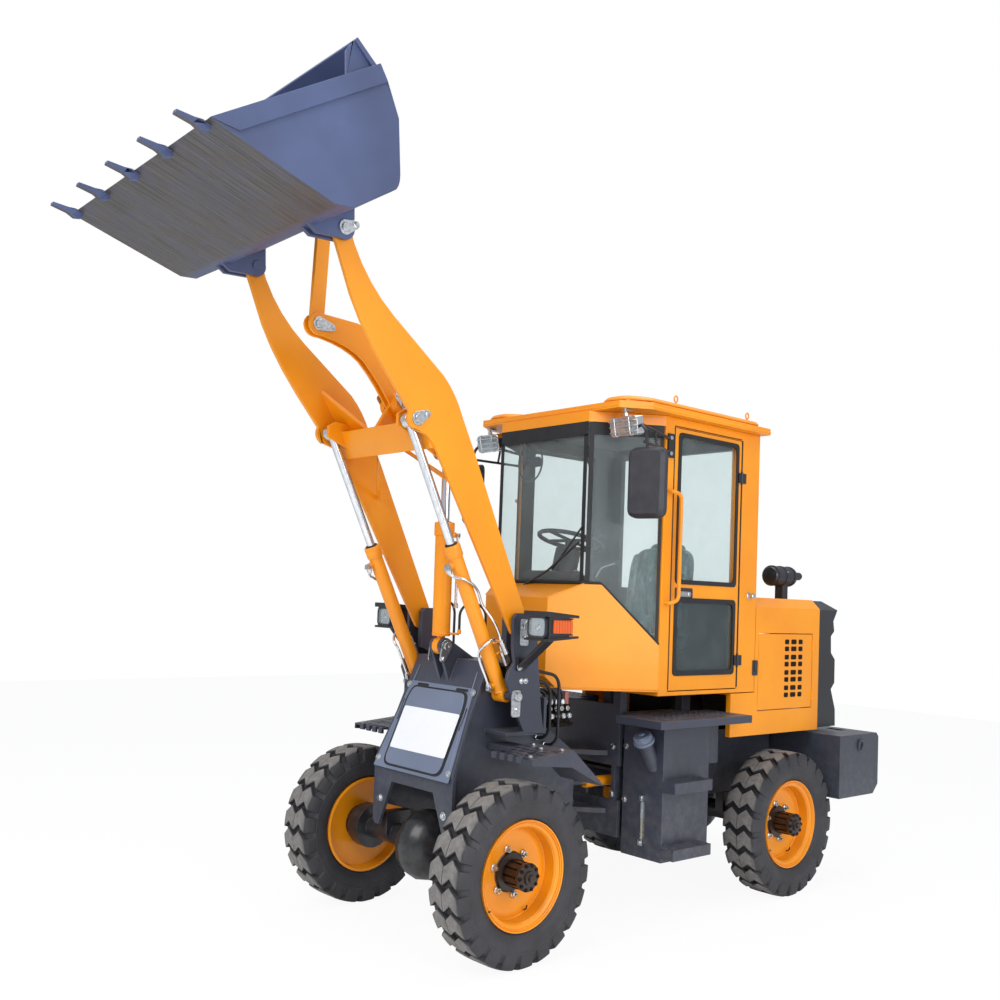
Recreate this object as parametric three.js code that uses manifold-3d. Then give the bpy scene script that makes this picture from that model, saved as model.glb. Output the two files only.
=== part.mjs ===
// Articulated wheel loader with a raised Z-bar lift arm and a four-post cab.
// Millimetres, +X forward, +Y to the machine's left, +Z up.  While it is built, X = 0 is midway between
// the axles and Z = 0 is the ground; at the end the whole machine is moved so that its origin is at the
// bottom centre of its bounding box.
import * as THREE from 'three';
import { mergeVertices } from 'three/addons/utils/BufferGeometryUtils.js';
import Module from 'manifold-3d';

const wasm = await Module();
wasm.setup();

// ---------------------------------------------------------------- driving dimensions
const CLEARANCE = 0.3;            // gap kept between pieces that touch
const RUN_GAP = 6;                // side gap between pieces that slide past each other
const PIN_GAP = 2;                // the same gap inside a fork that holds an eye
const ROUND = 16;                 // sides of a round bar or pin

const WHEELBASE = 2230;
const HINGE_X = 150;              // articulation pin, measured from midway between the axles
const TYRE_RADIUS = 432.5;
const TYRE_WIDTH = 228;
const TRACK = 1286;               // between the middles of the left and right tyres
const RIM_RADIUS = 262;

const CAB_HALF_WIDTH = 600;
const CAB_REAR = -885;
const A_PILLAR_FRONT = 15;
const A_PILLAR_LENGTH = 80;
const CAB_FLOOR = 1227;
const CAB_TOP = 2790;
const CAB_WALL = 40;
const ROOF_THICKNESS = 55;
const ROOF_OVERHANG = 60;
const ROOF_REAR_OVERHANG = 20;
const WINDSHIELD_X = 385;
const WINDSHIELD_HALF = 360;
const NOSE_X = 555;
const NOSE_HALF = 255;
const COWL_TOP = 1830;
const COWL_SILL = 1505;
const GLASS = 8;

const DOOR_REAR = -700;
const DOOR_BOTTOM = 1255;

const HOOD_REAR = -1600;
const HOOD_BOTTOM = 965;
const HOOD_TOP = 1800;
const HOOD_WALL = 30;
const FASCIA_DEPTH = 145;
const HOOD_DOOR_FRONT = -930;
const HOOD_DOOR_REAR = -1520;
const HOOD_DOOR_BOTTOM = 1113;
const HOOD_DOOR_TOP = 1578;

const WEIGHT_FRONT = -1560;
const WEIGHT_REAR = -2035;
const WEIGHT_HALF = 790;
const WEIGHT_BOTTOM = 550;
const WEIGHT_TOP = 945;

const TANK_FRONT = -25;
const TANK_LENGTH = 410;
const TANK_INNER = 330;
const TANK_OUTER = 620;
const TANK_BOTTOM = 315;
const TANK_TOP = 1075;
const SHELF_THICKNESS = 38;
const SHELF_INNER = 440;
const SHELF_OUTER = 760;
const STEP_DEPTH = 85;
const STEP_THICKNESS = 62;

const RAIL_INNER = 262;
const RAIL_THICKNESS = 28;
const RAIL_BOTTOM = 560;
const RAIL_TOP = 958;

const BOOM_PIVOT = { x: 905, z: 1600 };
const BUCKET_PIVOT = { x: 2086, z: 3360 };
const BOOM_PLATE_INNER = 388;
const BOOM_PLATE = 22;
const LIFT_PIN = { x: 1613, z: 2570 };
const LIFT_BASE = { x: 945, z: 1240 };
const LIFT_Y = 341;
const LIFT_BARREL_RADIUS = 38;
const LIFT_ROD_RADIUS = 22;
const LIFT_BARREL_LENGTH = 836;

const TILT_BASE = { x: 1085, z: 1470 };
const TILT_PIN = { x: 1095, z: 2500 };
const TILT_BARREL_RADIUS = 48;
const TILT_ROD_RADIUS = 24;
const TILT_BARREL_LENGTH = 655;

const ROCKER_PIVOT = { x: 1445, z: 2700 };
const LINK_PIN = { x: 1945, z: 3023 };
const BUCKET_LUG = { x: 1925, z: 3600 };
const ROCKER_PLATE = 14;
const LINK_HALF = 13;             // half the link's thickness
const LINK_WIDTH = 74;
const FORK_GAP = 58;              // half the space between the plates of the rocker's lower arm
const ROCKER_GAP = LINK_HALF + PIN_GAP;   // half the space between the two rocker plates

const STEER_BASE = { x: -200, y: 190 };
const STEER_PIN = { x: 330, y: 160 };
const STEER_Z = 700;
const STEER_BARREL_RADIUS = 30;
const STEER_ROD_RADIUS = 15;

const BUCKET_HALF = 725;
const BUCKET_SIDE = 12;
const BUCKET_SHELL = 16;

const HOSE_RADIUS = 9;

// ---------------------------------------------------------------- finishes
const finish = (color, roughness, metalness) =>
  new THREE.MeshStandardMaterial({ color, roughness, metalness });
const YELLOW = finish(0xf5a515, 0.4, 0.1);
const SLATE = finish(0x484b57, 0.5, 0.2);
const BLUE_GREY = finish(0x66749f, 0.5, 0.2);
const RUBBER = finish(0x3a3a3c, 0.9, 0.0);
const CHROME = finish(0xd8dade, 0.15, 1.0);
const GLAZING = finish(0x9ec3cc, 0.05, 0.0);
const PLASTIC = finish(0x222326, 0.6, 0.0);
const CAST = finish(0x2b2723, 0.6, 0.4);
const VINYL = finish(0x3c6a68, 0.6, 0.0);

// ---------------------------------------------------------------- solid helpers
function solid(geometry) {
  const bare = geometry.clone();
  bare.deleteAttribute('normal');
  bare.deleteAttribute('uv');
  const merged = mergeVertices(bare, 1e-4);
  const vertProperties = new Float32Array(merged.attributes.position.array);
  const triVerts = new Uint32Array(merged.index.array);
  return new wasm.Manifold(new wasm.Mesh({ numProp: 3, vertProperties, triVerts }));
}

function geometryOf(manifold) {
  const mesh = manifold.getMesh();
  const geometry = new THREE.BufferGeometry();
  geometry.setAttribute('position', new THREE.BufferAttribute(new Float32Array(mesh.vertProperties), 3));
  geometry.setIndex(new THREE.BufferAttribute(new Uint32Array(mesh.triVerts), 1));
  geometry.computeVertexNormals();
  return geometry;
}

function join(first, ...others) {
  return others.reduce((whole, piece) => whole.add(piece), first);
}

function cut(first, ...tools) {
  return tools.reduce((whole, tool) => whole.subtract(tool), first);
}

function block(x0, x1, y0, y1, z0, z1) {
  const box = new THREE.BoxGeometry(x1 - x0, y1 - y0, z1 - z0);
  box.translate((x0 + x1) / 2, (y0 + y1) / 2, (z0 + z1) / 2);
  return solid(box);
}

// A closed outline in the XZ plane, extruded sideways from y0 to y1.
function sidePlate(outline, y0, y1, curveSegments = 4) {
  const plate = new THREE.ExtrudeGeometry(outline, { depth: y1 - y0, bevelEnabled: false, curveSegments });
  plate.rotateX(Math.PI / 2);
  plate.translate(0, y1, 0);
  return solid(plate);
}

// A closed outline in the XY plane, extruded upward from z0 to z1.
function planPlate(outline, z0, z1, curveSegments = 4) {
  const plate = new THREE.ExtrudeGeometry(outline, { depth: z1 - z0, bevelEnabled: false, curveSegments });
  plate.translate(0, 0, z0);
  return solid(plate);
}

function polygon(points) {
  return new THREE.Shape(points.map(([a, b]) => new THREE.Vector2(a, b)));
}

function cylinderY(x, z, radius, y0, y1, segments = ROUND) {
  const cylinder = new THREE.CylinderGeometry(radius, radius, y1 - y0, segments);
  cylinder.translate(x, (y0 + y1) / 2, z);
  return solid(cylinder);
}

function cylinderZ(x, y, radius, z0, z1, segments = ROUND) {
  const cylinder = new THREE.CylinderGeometry(radius, radius, z1 - z0, segments);
  cylinder.rotateX(Math.PI / 2);
  cylinder.translate(x, y, (z0 + z1) / 2);
  return solid(cylinder);
}

function cylinderX(y, z, radius, x0, x1, segments = ROUND) {
  const cylinder = new THREE.CylinderGeometry(radius, radius, x1 - x0, segments);
  cylinder.rotateZ(Math.PI / 2);
  cylinder.translate((x0 + x1) / 2, y, z);
  return solid(cylinder);
}

// A straight round bar between two points given as [x, y, z].
function bar(from, to, radius, segments = ROUND) {
  const start = new THREE.Vector3(...from);
  const end = new THREE.Vector3(...to);
  const direction = end.clone().sub(start);
  const shape = new THREE.CylinderGeometry(radius, radius, direction.length(), segments);
  const turn = new THREE.Quaternion().setFromUnitVectors(new THREE.Vector3(0, 1, 0), direction.normalize());
  shape.applyQuaternion(turn);
  shape.translate((start.x + end.x) / 2, (start.y + end.y) / 2, (start.z + end.z) / 2);
  return solid(shape);
}

// The same bar between two points of the XZ plane at side position y.
function barXZ(from, to, y, radius, segments = ROUND) {
  return bar([from.x, y, from.z], [to.x, y, to.z], radius, segments);
}

// A closed outline in the YZ plane, extruded forward from x0 to x1.
function frontPlate(points, x0, x1) {
  const plate = new THREE.ExtrudeGeometry(polygon(points), { depth: x1 - x0, bevelEnabled: false });
  plate.rotateX(Math.PI / 2);
  plate.rotateZ(Math.PI / 2);
  plate.translate(x0, 0, 0);
  return solid(plate);
}

// A flexible hose along a smooth line through the given points.
// A line through corners, each turned by an arc of the radius bend that six steps split.  Its straight
// stretches are split every 55 mm or less.
function eased(corners, bend) {
  const points = corners.map((corner) => new THREE.Vector3(...corner));
  const line = [points[0]];
  for (let i = 1; i < points.length - 1; i += 1) {
    const before = points[i - 1].clone().sub(points[i]).normalize();
    const after = points[i + 1].clone().sub(points[i]).normalize();
    const half = before.angleTo(after) / 2;
    const inward = before.clone().add(after).normalize();
    const centre = points[i].clone().addScaledVector(inward, bend / Math.sin(half));
    const spoke = points[i].clone().addScaledVector(before, bend / Math.tan(half)).sub(centre);
    const axis = after.clone().cross(before).normalize();
    for (let step = 0; step <= 6; step += 1) {
      line.push(spoke.clone().applyAxisAngle(axis, ((Math.PI - 2 * half) * step) / 6).add(centre));
    }
  }
  line.push(points.at(-1));
  return line.flatMap((point, i) => {
    if (i === 0) return [point];
    const parts = Math.ceil(point.distanceTo(line[i - 1]) / 55);
    return Array.from({ length: parts }, (_, k) => line[i - 1].clone().lerp(point, (k + 1) / parts));
  });
}

function hose(corners, bend, radius) {
  const line = new THREE.CatmullRomCurve3(eased(corners, bend));
  const section = new THREE.Shape();
  section.absarc(0, 0, radius, 0, Math.PI * 2, false);
  const steps = Math.round(line.getLength() / (radius * 5));
  return solid(new THREE.ExtrudeGeometry(section, { extrudePath: line, steps, bevelEnabled: false,
    curveSegments: 8 }));
}

const mirrorY = (manifold) => manifold.mirror([0, 1, 0]);
const bothSides = (manifold) => manifold.add(mirrorY(manifold));

function along(from, to, distance) {
  const length = Math.hypot(to.x - from.x, to.z - from.z);
  return { x: from.x + ((to.x - from.x) * distance) / length, z: from.z + ((to.z - from.z) * distance) / length };
}

// ---------------------------------------------------------------- scene helpers
const machine = new THREE.Group();

// A moving body: a group standing at its joint's point, with pieces given in machine coordinates.
function body(parent, x, y, z, joint) {
  const group = new THREE.Group();
  const origin = new THREE.Vector3(x, y, z);
  group.userData.origin = origin;
  group.userData.joint = joint;
  const parentOrigin = parent.userData.origin || new THREE.Vector3();
  group.position.copy(origin).sub(parentOrigin);
  parent.add(group);
  return group;
}

function piece(parent, name, manifold, material) {
  const geometry = geometryOf(manifold);
  const origin = parent.userData.origin || new THREE.Vector3();
  geometry.translate(-origin.x, -origin.y, -origin.z);
  const mesh = new THREE.Mesh(geometry, material);
  mesh.name = name;
  parent.add(mesh);
  return mesh;
}

// ---------------------------------------------------------------- rear frame
const FRONT_AXLE = WHEELBASE / 2;
const REAR_AXLE = -WHEELBASE / 2;
const AXLE_Z = TYRE_RADIUS;
const LUG_RADIUS = 90;
const LUG_THICKNESS = 30;
const LUG_GAP = 5;
const UPPER_LUG_Z = 850;
const LOWER_LUG_Z = 520;
const HINGE_PIN_RADIUS = 28;
const HINGE_BORE = 1;
const CROSS_FRONT = 0;            // front face of the rear frame's cross member
const CROSS_THICKNESS = 25;
const FRONT_FRAME_REAR = 330;

// A hinge plate: wide where it leaves its frame at rootX, round about the hinge pin.
function lugOutline(rootX, rootHalf) {
  const side = Math.sign(rootX - HINGE_X);
  const outline = new THREE.Shape();
  outline.moveTo(rootX, rootHalf * side);
  outline.lineTo(HINGE_X, LUG_RADIUS * side);
  outline.absarc(HINGE_X, 0, LUG_RADIUS, (Math.PI / 2) * side, (Math.PI / 2) * side + Math.PI, false);
  outline.lineTo(rootX, -rootHalf * side);
  return outline;
}

function rearFrame() {
  const rail = block(-1530, CROSS_FRONT, RAIL_INNER, RAIL_INNER + RAIL_THICKNESS, RAIL_BOTTOM, RAIL_TOP);
  const upperCross = block(CROSS_FRONT - CROSS_THICKNESS, CROSS_FRONT, -318, 318, 800, 1150);
  const lowerCross = block(CROSS_FRONT - CROSS_THICKNESS, CROSS_FRONT, -318, 318, 400, 605);
  const railDrop = block(CROSS_FRONT - 300, CROSS_FRONT, RAIL_INNER, RAIL_INNER + RAIL_THICKNESS, 400, RAIL_TOP);
  const root = CROSS_FRONT - 10;
  const upperLug = planPlate(lugOutline(root, 240), UPPER_LUG_Z, UPPER_LUG_Z + LUG_THICKNESS);
  const lowerLug = planPlate(lugOutline(root, 240), LOWER_LUG_Z, LOWER_LUG_Z + LUG_THICKNESS);
  const upperPin = cylinderZ(HINGE_X, 0, HINGE_PIN_RADIUS, UPPER_LUG_Z - 55, UPPER_LUG_Z + 60);
  const lowerPin = cylinderZ(HINGE_X, 0, HINGE_PIN_RADIUS, LOWER_LUG_Z - 30, LOWER_LUG_Z + 85);
  const rearCross = block(-1530, -1500, -RAIL_INNER - 5, RAIL_INNER + 5, RAIL_BOTTOM, RAIL_TOP);
  const midCross = block(-520, -490, -RAIL_INNER - 5, RAIL_INNER + 5, RAIL_BOTTOM, 800);
  const steerShelf = block(-520, -150, -RAIL_INNER - 5, RAIL_INNER + 5, STEER_Z + 36, STEER_Z + 52);
  const cabPost = block(-60, 0, 262, 318, RAIL_TOP - 5, CAB_FLOOR - CLEARANCE);
  const rearPost = block(-640, -560, 262, 318, RAIL_TOP - 5, CAB_FLOOR - CLEARANCE);
  return join(bothSides(rail), upperCross, lowerCross, bothSides(railDrop), upperLug, lowerLug, upperPin,
    lowerPin,
    rearCross, midCross, steerShelf, bothSides(cabPost), bothSides(rearPost));
}

const AXLE_TUBE_RADIUS = 58;
const AXLE_BALL_RADIUS = 185;
const HUB_GAP = 4;
const HUB_FACE = TRACK / 2 - 60;  // where the axle's flange meets the wheel disc

function axle(x, padTop, padY) {
  const tube = cylinderY(x, AXLE_Z, AXLE_TUBE_RADIUS, -HUB_FACE + HUB_GAP, HUB_FACE - HUB_GAP);
  const ball = new THREE.SphereGeometry(AXLE_BALL_RADIUS, 16, 8);
  ball.scale(1.03, 0.8, 1);
  ball.translate(x, 0, AXLE_Z);
  const drum = cylinderY(x, AXLE_Z, 120, HUB_FACE - 95, HUB_FACE - HUB_GAP);
  const pad = block(x - 80, x + 80, padY, padY + 60, AXLE_Z, padTop - CLEARANCE);
  return join(tube, solid(ball), bothSides(drum), bothSides(pad));
}

function engine() {
  const blockBody = block(-1440, -930, -190, 190, 985, 1500);
  const gearbox = block(-935, -640, -170, 170, 840, 1170);
  const sump = block(-1400, -925, -150, 150, 860, 990);
  const fan = cylinderX(0, 1300, 220, -1500, -1470);
  const fanShaft = cylinderX(0, 1300, 40, -1475, -1435);
  return join(blockBody, gearbox, sump, fan, fanShaft);
}

function engineMounts() {
  return bothSides(block(-1300, -1180, 185, RAIL_INNER + 5, 900, RAIL_TOP));
}

// ---------------------------------------------------------------- hood
const HOOD_CHAMFER = 58;
const HOOD_FRONT = CAB_REAR - 5;
const HOOD_FOOT_FRONT = -653;
const HOOD_FOOT_TOP = CAB_FLOOR - 5;
const PANEL_GAP = 5;

function hoodSection(half, top, bottom, chamfer) {
  return [[-half, bottom], [half, bottom], [half, top - chamfer], [half - chamfer, top],
    [-half + chamfer, top], [-half, top - chamfer]];
}

function hoodDoorBlock(gap, depth) {
  return block(HOOD_DOOR_REAR - gap, HOOD_DOOR_FRONT + gap, CAB_HALF_WIDTH - depth, CAB_HALF_WIDTH + 20,
    HOOD_DOOR_BOTTOM - gap, HOOD_DOOR_TOP + gap);
}

function hood() {
  const outer = frontPlate(hoodSection(CAB_HALF_WIDTH, HOOD_TOP, HOOD_BOTTOM, HOOD_CHAMFER), HOOD_REAR,
    HOOD_FRONT);
  const inner = frontPlate(hoodSection(CAB_HALF_WIDTH - HOOD_WALL, HOOD_TOP - HOOD_WALL, HOOD_BOTTOM - 50,
    HOOD_CHAMFER), HOOD_REAR - 50, HOOD_FRONT - HOOD_WALL);
  const foot = block(HOOD_FRONT - 5, HOOD_FOOT_FRONT, CAB_HALF_WIDTH - HOOD_WALL, CAB_HALF_WIDTH,
    HOOD_BOTTOM, HOOD_FOOT_TOP);
  const tunnel = block(HOOD_FRONT - 100, HOOD_FRONT + 50, -420, 420, HOOD_BOTTOM - 50, CAB_FLOOR - 40);
  const doorHole = hoodDoorBlock(PANEL_GAP, HOOD_WALL + 20);
  return cut(join(outer, bothSides(foot)), inner, tunnel, doorHole, mirrorY(doorHole));
}

function hoodDoor() {
  return block(HOOD_DOOR_REAR, HOOD_DOOR_FRONT, CAB_HALF_WIDTH - HOOD_WALL, CAB_HALF_WIDTH,
    HOOD_DOOR_BOTTOM, HOOD_DOOR_TOP);
}

function rearFascia() {
  const front = HOOD_REAR - CLEARANCE;
  const back = HOOD_REAR - FASCIA_DEPTH;
  const outline = polygon([[front, 977], [back - 70, 977], [back - 65, 1086], [back - 10, 1219], [back - 52, 1261],
    [back - 51, 1414], [back - 3, 1458], [back + 2, 1567], [back - 37, 1601], [back - 24, 1666], [back - 72, 1742],
    [back + 35, HOOD_TOP - 4], [front, HOOD_TOP - 4]]);
  const section = hoodSection(CAB_HALF_WIDTH, HOOD_TOP - 4, HOOD_BOTTOM, HOOD_CHAMFER);
  const outer = sidePlate(outline, -CAB_HALF_WIDTH, CAB_HALF_WIDTH)
    .intersect(frontPlate(section, back - 100, front));
  const inner = block(back + 45, front + 10, -CAB_HALF_WIDTH + 30, CAB_HALF_WIDTH - 30, 1010, 1700);
  const grille = block(back - 200, back + 60, -430, 430, 1060, 1640);
  return cut(outer, inner, grille);
}

function counterweight() {
  const outline = polygon([[WEIGHT_FRONT, WEIGHT_BOTTOM], [WEIGHT_FRONT, WEIGHT_TOP],
    [WEIGHT_REAR + 25, WEIGHT_TOP],
    [WEIGHT_REAR, WEIGHT_TOP - 25], [WEIGHT_REAR, WEIGHT_BOTTOM + 60], [WEIGHT_REAR + 60, WEIGHT_BOTTOM]]);
  const mass = sidePlate(outline, -WEIGHT_HALF, WEIGHT_HALF);
  const slot = block(WEIGHT_REAR + 110, WEIGHT_REAR + 170, 500, 620, WEIGHT_TOP - 60, WEIGHT_TOP + 20);
  return cut(mass, slot, mirrorY(slot));
}

// ---------------------------------------------------------------- tanks with steps
function tank() {
  const rear = TANK_FRONT - TANK_LENGTH;
  const box = block(rear, TANK_FRONT, TANK_INNER, TANK_OUTER, TANK_BOTTOM, TANK_TOP);
  const shelf = block(-645, 175, SHELF_INNER, SHELF_OUTER, TANK_TOP - 5, TANK_TOP + SHELF_THICKNESS);
  const shelfInner = block(rear, TANK_FRONT, TANK_INNER, 520, TANK_TOP - 5, TANK_TOP + SHELF_THICKNESS);
  const rib = block(-600, rear + 5, 540, 560, TANK_TOP - 260, TANK_TOP);
  const steps = [TANK_BOTTOM + 25, TANK_BOTTOM + 385].map((z) =>
    block(rear + 75, TANK_FRONT, TANK_OUTER - 5, TANK_OUTER + STEP_DEPTH, z, z + STEP_THICKNESS));
  return join(box, shelf, shelfInner, rib, ...steps);
}

// ---------------------------------------------------------------- cab
const DOOR_FRONT = A_PILLAR_FRONT - A_PILLAR_LENGTH - PANEL_GAP;
const HEADER = 60;
const HEADER_BOTTOM = CAB_TOP - HEADER;
const DOOR_TOP = HEADER_BOTTOM + 10;
const RAIL_LOW = 1764;
const RAIL_HIGH = 1866;
const DOOR_RIM = 42;

// The cab's plan: straight sides, then two quarter panels closing in to the flat front.
function cabPlan(inset, front, frontHalf, rear) {
  const half = CAB_HALF_WIDTH - inset;
  return [[rear + inset, -half], [A_PILLAR_FRONT, -half], [front - inset, -frontHalf + inset * 0.35],
    [front - inset, frontHalf - inset * 0.35], [A_PILLAR_FRONT, half], [rear + inset, half]];
}

function cabShell() {
  const outer = planPlate(polygon(cabPlan(0, WINDSHIELD_X, WINDSHIELD_HALF, CAB_REAR)), CAB_FLOOR, CAB_TOP);
  const inner = planPlate(polygon(cabPlan(CAB_WALL, WINDSHIELD_X, WINDSHIELD_HALF, CAB_REAR)),
    CAB_FLOOR + CAB_WALL, CAB_TOP + 50);
  const front = block(A_PILLAR_FRONT, WINDSHIELD_X + 50, -700, 700, CAB_FLOOR - 10, HEADER_BOTTOM);
  const doorway = block(DOOR_REAR - PANEL_GAP, DOOR_FRONT + PANEL_GAP, 500, 700, DOOR_BOTTOM - PANEL_GAP,
    DOOR_TOP + PANEL_GAP);
  const rightUpper = block(DOOR_REAR + 30, DOOR_FRONT - 30, -700, -500, RAIL_HIGH, HEADER_BOTTOM - 20);
  const rightLower = block(DOOR_REAR + 30, DOOR_FRONT - 30, -700, -500, 1350, RAIL_LOW);
  const rearWindow = block(CAB_REAR - 50, CAB_REAR + 100, -480, 480, 1840, HEADER_BOTTOM - 20);
  return cut(outer, inner, front, doorway, rightUpper, rightLower, rearWindow);
}

function cabDoor() {
  const y0 = CAB_HALF_WIDTH - CAB_WALL;
  const panel = block(DOOR_REAR, DOOR_FRONT, y0, CAB_HALF_WIDTH, DOOR_BOTTOM, DOOR_TOP);
  const upper = block(DOOR_REAR + DOOR_RIM, DOOR_FRONT - DOOR_RIM, y0 - 20, CAB_HALF_WIDTH + 20, RAIL_HIGH,
    DOOR_TOP - DOOR_RIM);
  const lower = block(DOOR_REAR + DOOR_RIM, DOOR_FRONT - DOOR_RIM, y0 - 20, CAB_HALF_WIDTH + 20,
    DOOR_BOTTOM + 95, RAIL_LOW);
  return cut(panel, upper, lower);
}

function paneXZ(x0, x1, z0, z1, y) {
  return block(x0 + CLEARANCE, x1 - CLEARANCE, y - GLASS / 2, y + GLASS / 2, z0 + CLEARANCE, z1 - CLEARANCE);
}

function cowlSide(drop) {
  return polygon([[A_PILLAR_FRONT - 40, CAB_FLOOR + 22 + drop], [NOSE_X - 60, CAB_FLOOR + 22 + drop],
    [NOSE_X - drop, CAB_FLOOR + 90], [NOSE_X - drop, COWL_TOP - 80 - drop], [WINDSHIELD_X, COWL_TOP - drop],
    [WINDSHIELD_X - 85, COWL_TOP - drop], [A_PILLAR_FRONT, COWL_SILL - drop],
    [A_PILLAR_FRONT - 40, COWL_SILL - drop]]);
}

const COWL_WALL = 35;

function cabCowl() {
  const plan = polygon([[A_PILLAR_FRONT + CLEARANCE, -CAB_HALF_WIDTH], [NOSE_X, -NOSE_HALF], [NOSE_X, NOSE_HALF],
    [A_PILLAR_FRONT + CLEARANCE, CAB_HALF_WIDTH]]);
  const outer = planPlate(plan, CAB_FLOOR, COWL_TOP + 20).intersect(sidePlate(cowlSide(0), -700, 700));
  const inset = COWL_WALL * 1.25;
  const cabVoid = planPlate(polygon([[A_PILLAR_FRONT - 20, -CAB_HALF_WIDTH + inset], [WINDSHIELD_X - 20,
    -WINDSHIELD_HALF + 20], [WINDSHIELD_X - 20, WINDSHIELD_HALF - 20], [A_PILLAR_FRONT - 20,
    CAB_HALF_WIDTH - inset]]), CAB_FLOOR + 22 + COWL_WALL, COWL_TOP + 100);
  const noseVoid = planPlate(polygon([[A_PILLAR_FRONT - 20, -CAB_HALF_WIDTH + inset], [NOSE_X - COWL_WALL,
    -NOSE_HALF + COWL_WALL], [NOSE_X - COWL_WALL, NOSE_HALF - COWL_WALL], [A_PILLAR_FRONT - 20,
    CAB_HALF_WIDTH - inset]]), CAB_FLOOR + 22 + COWL_WALL, COWL_TOP + 100)
    .intersect(sidePlate(cowlSide(COWL_WALL), -700, 700));
  return cut(outer, cabVoid, noseVoid);
}

// The bonded front glass: a flat windshield and two quarter panes in one folded sheet.
function windshield() {
  const offset = 12;
  const ring = (inset) => [[A_PILLAR_FRONT + CLEARANCE, -CAB_HALF_WIDTH + inset * 1.15],
    [WINDSHIELD_X - inset, -WINDSHIELD_HALF + inset * 0.45], [WINDSHIELD_X - inset, WINDSHIELD_HALF - inset * 0.45],
    [A_PILLAR_FRONT + CLEARANCE, CAB_HALF_WIDTH - inset * 1.15]];
  const sheetOuter = planPlate(polygon(ring(offset)), COWL_SILL - 100, HEADER_BOTTOM - CLEARANCE);
  const sheetInner = planPlate(polygon(ring(offset + GLASS).map(([x, y]) => [x === A_PILLAR_FRONT + CLEARANCE ?
    x - 20 : x, y])), COWL_SILL - 200, HEADER_BOTTOM + 50);
  const sill = sidePlate(polygon([[A_PILLAR_FRONT - 50, 1000], [900, 1000], [900, COWL_TOP + CLEARANCE],
    [WINDSHIELD_X - 85, COWL_TOP + CLEARANCE], [A_PILLAR_FRONT, COWL_SILL + CLEARANCE],
    [A_PILLAR_FRONT - 50, COWL_SILL + CLEARANCE]]), -700, 700);
  return cut(sheetOuter, sheetInner, sill);
}

function cabRoof() {
  const rear = CAB_REAR - ROOF_REAR_OVERHANG;
  const half = CAB_HALF_WIDTH + ROOF_OVERHANG;
  const plan = (grow) => polygon([[rear + grow, -half + grow], [200, -half + grow], [365 - grow, -560],
    [365 - grow, 560], [200, half - grow], [rear + grow, half - grow]]);
  const base = CAB_TOP + CLEARANCE;
  return join(planPlate(plan(0), base, base + ROOF_THICKNESS - 15), planPlate(plan(60), base + 10,
    base + ROOF_THICKNESS));
}

const SEAT_X = -520;

function seatBase() {
  return block(SEAT_X - 180, SEAT_X + 180, -210, 210, CAB_FLOOR + CAB_WALL + CLEARANCE, 1440);
}

function seat() {
  const cushion = block(SEAT_X - 230, SEAT_X + 250, -240, 240, 1440 + CLEARANCE, 1560);
  const back = sidePlate(polygon([[SEAT_X - 230, 1500], [SEAT_X - 120, 1500], [SEAT_X - 190, 2100],
    [SEAT_X - 270, 2100]]), -230, 230);
  return join(cushion, back);
}

const WHEEL_CENTRE = { x: 130, z: 2090 };

function steeringColumn() {
  const foot = { x: 330, z: CAB_FLOOR + 80 };
  const column = barXZ(foot, WHEEL_CENTRE, 0, 28);
  const housing = barXZ(along(WHEEL_CENTRE, foot, 60), along(WHEEL_CENTRE, foot, 420), 0, 75);
  const ring = new THREE.TorusGeometry(190, 14, 6, 20);
  const spoke = new THREE.BoxGeometry(370, 26, 14);
  const spoke2 = new THREE.BoxGeometry(26, 370, 14);
  const wheel = join(solid(ring), solid(spoke), solid(spoke2));
  const axis = new THREE.Vector3(WHEEL_CENTRE.x - foot.x, 0, WHEEL_CENTRE.z - foot.z).normalize();
  const lean = (Math.atan2(axis.x, axis.z) * 180) / Math.PI;
  return join(column, housing, wheel.rotate([0, lean, 0]).translate([WHEEL_CENTRE.x, 0, WHEEL_CENTRE.z]));
}

function leverConsole() {
  const box = block(-520, -100, -500, -330, CAB_FLOOR + CAB_WALL + CLEARANCE, 1700);
  const leverOne = barXZ({ x: -200, z: 1690 }, { x: -130, z: 1930 }, -390, 9, 10);
  const leverTwo = barXZ({ x: -270, z: 1690 }, { x: -200, z: 1900 }, -440, 9, 10);
  return join(box, leverOne, leverTwo);
}

function mirror() {
  const head = block(-30, 30, -107, 107, -189, 189).rotate([0, 0, 15]).translate([300, 712, 2379]);
  const foot = block(A_PILLAR_FRONT - 60, A_PILLAR_FRONT - 10, CAB_HALF_WIDTH + CLEARANCE, 614, 2560, 2680);
  const corner = [292, 652, 2692];
  const hanger = [300, 706, 2550];
  const upper = bar([A_PILLAR_FRONT - 35, 613, 2650], corner, 11, 10);
  const drop = bar(corner, hanger, 11, 10);
  const brace = bar([A_PILLAR_FRONT - 35, 612, 2590], [296, 680, 2620], 9, 10);
  return join(head, foot, upper, drop, brace);
}

function airCleaner() {
  const drum = cylinderX(400, 1950, 65, -1545, -1330);
  const pipe = cylinderX(400, 1957, 26, -1664, -1535);
  const stand = block(-1490, -1430, 370, 430, HOOD_TOP + CLEARANCE, 1900);
  return join(drum, pipe, stand);
}

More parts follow.
